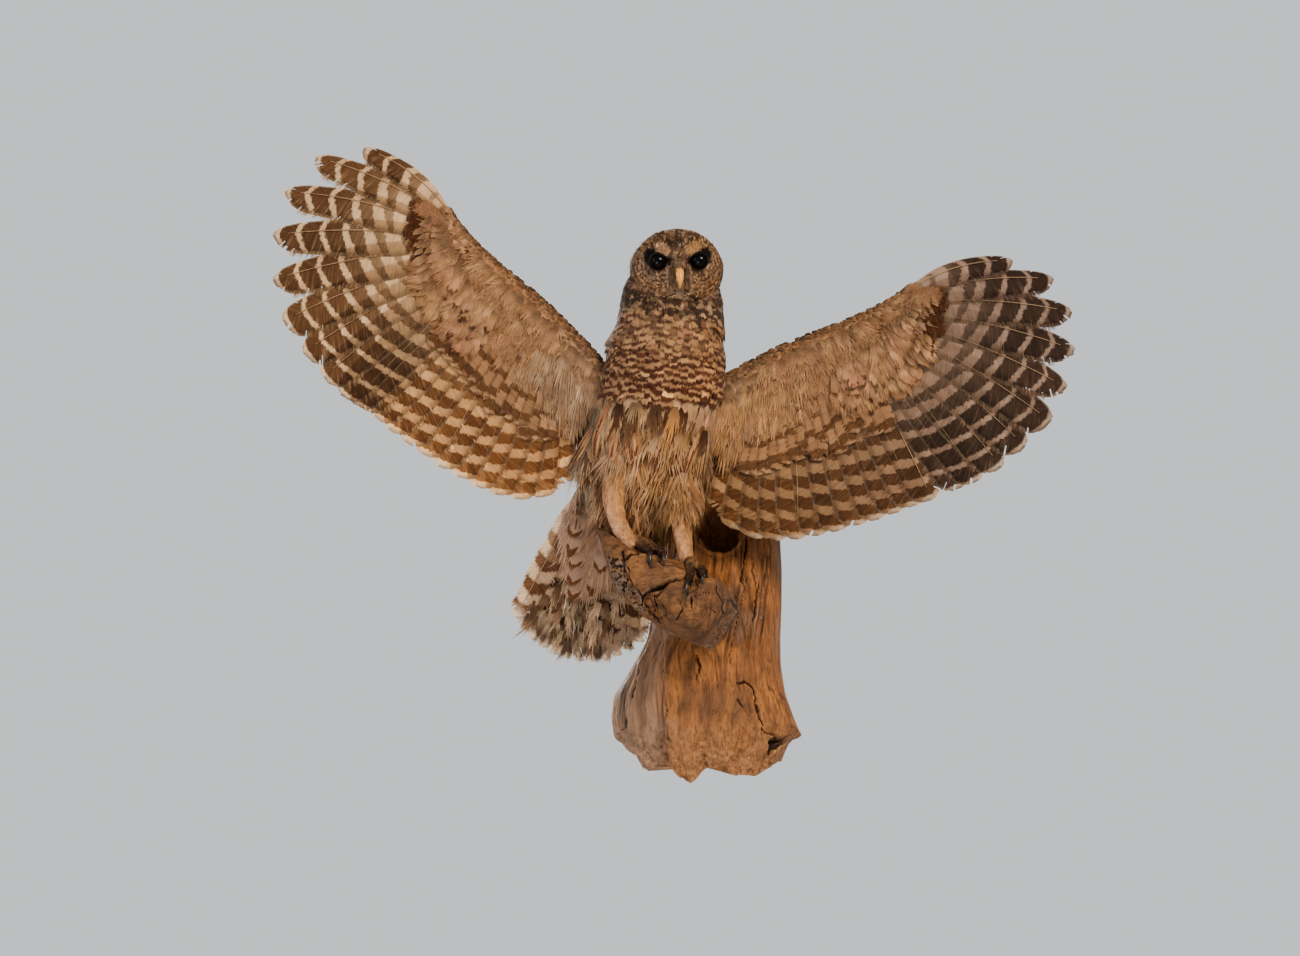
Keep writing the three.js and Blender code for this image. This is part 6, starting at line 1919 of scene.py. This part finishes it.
def eyes():
    material = eye_material()
    m = Tree("lid")
    place = m.place()
    fold = m.noise(place, 900.0, 3.0)
    tone = m.blend(fold, rgb(5, 4, 4), rgb(18, 13, 11))
    lid_material = m.finish(Base_Color=tone, Roughness=0.85, Specular_IOR_Level=0.1,
        Normal=m.bump(fold, 0.5, 0.0004))
    for side, name in ((1, "left"), (-1, "right")):
        centre = EYE * [side, 1, 1]
        angles = np.linspace(0.02, math.pi - 0.02, 40)
        pts = revolve([(EYE_RADIUS * math.sin(t), EYE_RADIUS * math.cos(t)) for t in angles], centre)
        rows, columns, _ = pts.shape
        verts, tris = close_ends(pts, rows, columns)
        tris = facing_out(verts - centre, tris)
        u = np.concatenate([np.repeat(angles / 1.45, columns), [0, 1]])
        v = np.concatenate([np.tile(np.arange(columns) / columns, rows), [0, 0]])
        me = new_mesh("eye_" + name, head_to_part(verts), tris, {"iris": cols(u, v)})
        piece("glass_eye_" + name, me, material, "eye", "eye_" + name)
        # The lids: a soft almond rim, higher over the eye, rolled in to the ball.
        columns = 60
        a = np.linspace(0, TAU, columns, endpoint=False)
        outward, high = side * np.cos(a), np.sin(a)
        # The opening: round below, cut off above by a lid that slants down to the bill.
        slope = np.maximum(high - 0.3 * outward, 1e-3)
        opening = np.minimum(8.4 + 1.0 * np.clip(-outward, 0, 1) ** 6, 6.0 / slope)
        rings = []
        for blend, ball in ((-0.35, 0), (0, 10.4), (0.35, 11.0), (0.7, 11.4), (0.93, 11.6), (1.0, 11.4),
                (1.03, 11.0), (1.0, 10.4)):
            radius = EYE_RADIUS + (opening - EYE_RADIUS) * max(blend, 0) + (0.6 if blend < 0 else 0)
            over = np.sqrt(np.maximum(ball**2 - np.minimum(radius, ball) ** 2, 0)) + 1.2
            reach = -4 if blend < 0 else over
            x, z = centre[0] + radius * np.cos(a), centre[2] + radius * np.sin(a)
            rings.append(cols(x, centre[1] - reach, z))
        pts = np.stack(rings)
        me = new_mesh("lids_" + name, head_to_part(pts.reshape(-1, 3)),
            facing_out(pts.reshape(-1, 3) - centre, grid_tris(len(rings), columns)))
        piece("lids_" + name, me, lid_material, "plumage")


def bill(top, length, width, depth, reach, name, node, material):
    rows, columns = 44, 36
    q, angle = rings_of(np.linspace(0, 1, rows), columns)
    taper = np.sqrt(1 - q * 0.985)
    w = (width / 2) * np.sin(math.pi * (0.2 + 0.78 * q)) ** 0.9
    d = (depth / 2) * taper
    keel = 1 + 0.12 * np.clip(-np.sin(angle), 0, 1) ** 6
    y = -39 - reach * np.abs(np.sin(q * math.pi * 0.72)) ** 0.8 + d * np.sin(angle) * keel
    z = top - length * q**1.15 + d * 0.5 * np.sin(angle)
    pts = cols(w * np.cos(angle), y, z)
    if node == "bill_upper":
        for side in (-1, 1):
            hole = np.linalg.norm((pts - np.array([side * 4.7, -50.6, -6.4])) / [2.0, 1.9, 1.4], axis=-1)
            pts[..., 0] -= side * 1.5 * np.exp(-(hole**2) * 2.0)
    verts, tris = close_ends(pts, rows, columns)
    me = new_mesh(name, head_to_part(verts), facing_out(verts - verts.mean(0), tris))
    return piece(name, me, material, "horn", node)


def bill_parts():
    m = Tree("bill_horn")
    place = m.place()
    streaks = m.noise(m.scaled(place, 1, 1, 0.2), 900.0, 3.0)
    colour = m.blend(m.step(0.3, 0.7, streaks), rgb(178, 118, 60), rgb(212, 154, 88))
    # Painted shade: the bill is darkened where its surface is hollow, as at the nostrils.
    hollow = m.hollow()
    colour = m.blend(m.step(0.49, 0.42, hollow, 0.0, 0.9), colour, rgb(60, 42, 28))
    material = m.finish(Base_Color=colour, Roughness=0.38, Specular_IOR_Level=0.5,
        Normal=m.bump(streaks, 0.2, 0.0003))
    bill(2, 29, 10, 12, 13, "upper_bill", "bill_upper", material)
    bill(-10, 13, 9, 8, 9, "lower_bill", "bill_lower", material)


def claws():
    m = Tree("claw_horn")
    place = m.place()
    streaks = m.noise(place, 700.0, 3.0)
    colour = m.blend(m.step(0.3, 0.75, streaks), rgb(16, 12, 10), rgb(52, 40, 32))
    material = m.finish(Base_Color=colour, Roughness=0.3, Specular_IOR_Level=0.5,
        Normal=m.bump(streaks, 0.15, 0.0002))
    for side, word in ((1, "left"), (-1, "right")):
        for index in range(4):
            verts, tris = tube_mesh(claw_stations(side, index), 26, 18)
            me = new_mesh(f"talon_{word}_{index + 1}", verts, facing_out(verts - verts.mean(0), tris))
            piece(f"talon_{word}_{index + 1}", me, material, "claw", f"claw_{word}_{index + 1}")


# ------------------------------------------------------------------ build

feather = plumage("feather", 0.25, soft=0.34)
vane_cloth = plumage("flight_vane", 0.42, soft=0.2, tuck=0.8)
tail_cloth = plumage("tail_vane", 0.45, soft=0.5, tip=0.92, tuck=0.6)
downy = plumage("down", 0.35, 0.9)

all_roots = []


def dress(coat, name, material, *nodes, slot="plumage", place=bird, rooted=True):
    """Make a coat's piece. The skin below takes its colour from the coat's roots."""
    coat.build(name, material, slot, place, *nodes)
    if rooted:
        all_roots.append((place(np.concatenate(coat.roots)), np.concatenate(coat.shades)))


dress(body_coat(), "body_coat", plumage("breast_feather", 0.2, soft=0.85))
dress(body_down(), "flank_down", downy)
crown, face = head_coat()
dress(crown, "head_coat", feather, place=head_to_part)
dress(face, "face_coat", plumage("face_feather", 0.1, rings=True, sheen=0.0), place=head_to_part)
for mirror, word in ((1, "left"), (-1, "right")):
    primaries, secondaries = flight_feathers(mirror)
    dress(primaries, f"primaries_{word}", vane_cloth, f"wing_{word}_hand", rooted=False)
    dress(secondaries, f"secondaries_{word}", vane_cloth, f"wing_{word}_arm", rooted=False)
    for side, label in ((1, "under"), (-1, "upper")):
        dress(wing_lining(mirror, side), f"{label}_coverts_{word}", feather)
        dress(greater_coverts(mirror, side), f"greater_{label}_coverts_{word}", vane_cloth, rooted=False)
rectrices, coverts = tail_feathers()
dress(rectrices, "tail_feathers", tail_cloth, "tail", rooted=False)
dress(coverts, "tail_coverts", feather)
dress(leg_coat(), "leg_coat", downy, slot="leg_plumage", place=np.asarray)
skin(all_roots)
eyes()
bill_parts()
claws()

for name, shape, along, tint, contrast, node in (
        ("driftwood_slab", slab_mesh, "z", (0.95, 0.96, 0.97), 1.0, "slab"),
        ("driftwood_burl", burl_mesh, "x", (0.64, 0.71, 0.84), 1.6, "burl")):
    verts, tris, wear = shape()
    me = new_mesh(name, verts, facing_out(verts - verts.mean(0), tris), None, {"wear": wear})
    piece(name, me, driftwood(name, along, tint, contrast), "driftwood", node)

# ------------------------------------------------------------------ floor, light and camera

FLOOR_LEVEL, FLOOR_HALF_SIDE = -1600.0, 9000.0
SKY_COLOUR, SKY_STRENGTH = (0.84, 0.86, 0.88, 1), 0.75
FOCAL_PIXELS, FRAME_PIXELS, SENSOR = 2692.0, 1300, 36.0  # solved for the photograph's frame
CAMERA_AT = (0.6383, -3.2103, -0.7791)

m = Tree("floor")
grain = m.noise(m.place(), 3.0, 3.0)
floor_material = m.finish(Base_Color=m.blend(grain, (0.6, 0.59, 0.57), (0.66, 0.65, 0.63)), Roughness=0.9)
corners = np.array([(-1, -1), (1, -1), (1, 1), (-1, 1)]) * FLOOR_HALF_SIDE
ground = new_mesh("floor", cols(*corners.T, FLOOR_LEVEL), np.array([(0, 1, 2), (0, 2, 3)]), smooth=False)
ground.materials.append(floor_material)
floor = bpy.data.objects.new("floor", ground)
bpy.context.collection.objects.link(floor)

world = bpy.data.worlds.new("studio")
bpy.context.scene.world = world
world.use_nodes = True
world.node_tree.nodes["Background"].inputs[0].default_value = SKY_COLOUR
world.node_tree.nodes["Background"].inputs[1].default_value = SKY_STRENGTH
bpy.context.scene.view_settings.look = "AgX - Medium High Contrast"


def softbox(name, at, target, size, power, colour):
    light = bpy.data.lights.new(name, "AREA")
    light.shape, light.size, light.energy, light.color = "DISK", size, power, colour
    o = bpy.data.objects.new(name, light)
    bpy.context.collection.objects.link(o)
    o.rotation_euler = (Vector(target) - Vector(at)).to_track_quat("-Z", "Y").to_euler()
    o.location = at


softbox("key", (1.7, -2.0, 1.1), (0, -0.2, 0.2), 1.0, 76, (1.0, 0.88, 0.74))
softbox("low", (-0.2, -2.3, -1.2), (0, -0.2, -0.1), 1.2, 20, (1.0, 0.92, 0.84))
softbox("fill", (-1.9, -1.7, 0.5), (0, -0.2, 0.2), 1.6, 16, (0.90, 0.95, 1.0))
softbox("window", (-1.5, 1.3, 0.9), (-0.1, -0.2, 0.3), 1.6, 75, (0.92, 0.97, 1.0))

camera = bpy.data.cameras.new("camera")
camera.sensor_width, camera.lens = SENSOR, FOCAL_PIXELS / FRAME_PIXELS * SENSOR
camera.clip_end = 60
view = bpy.data.objects.new("camera", camera)
bpy.context.collection.objects.link(view)
right, forward, up = CAMERA_TURN.T
basis = Matrix([[right[i], up[i], -forward[i]] for i in range(3)]).to_4x4()
view.matrix_world = Matrix.Translation(CAMERA_AT) @ basis
bpy.context.scene.camera = view

bpy.context.view_layer.update()
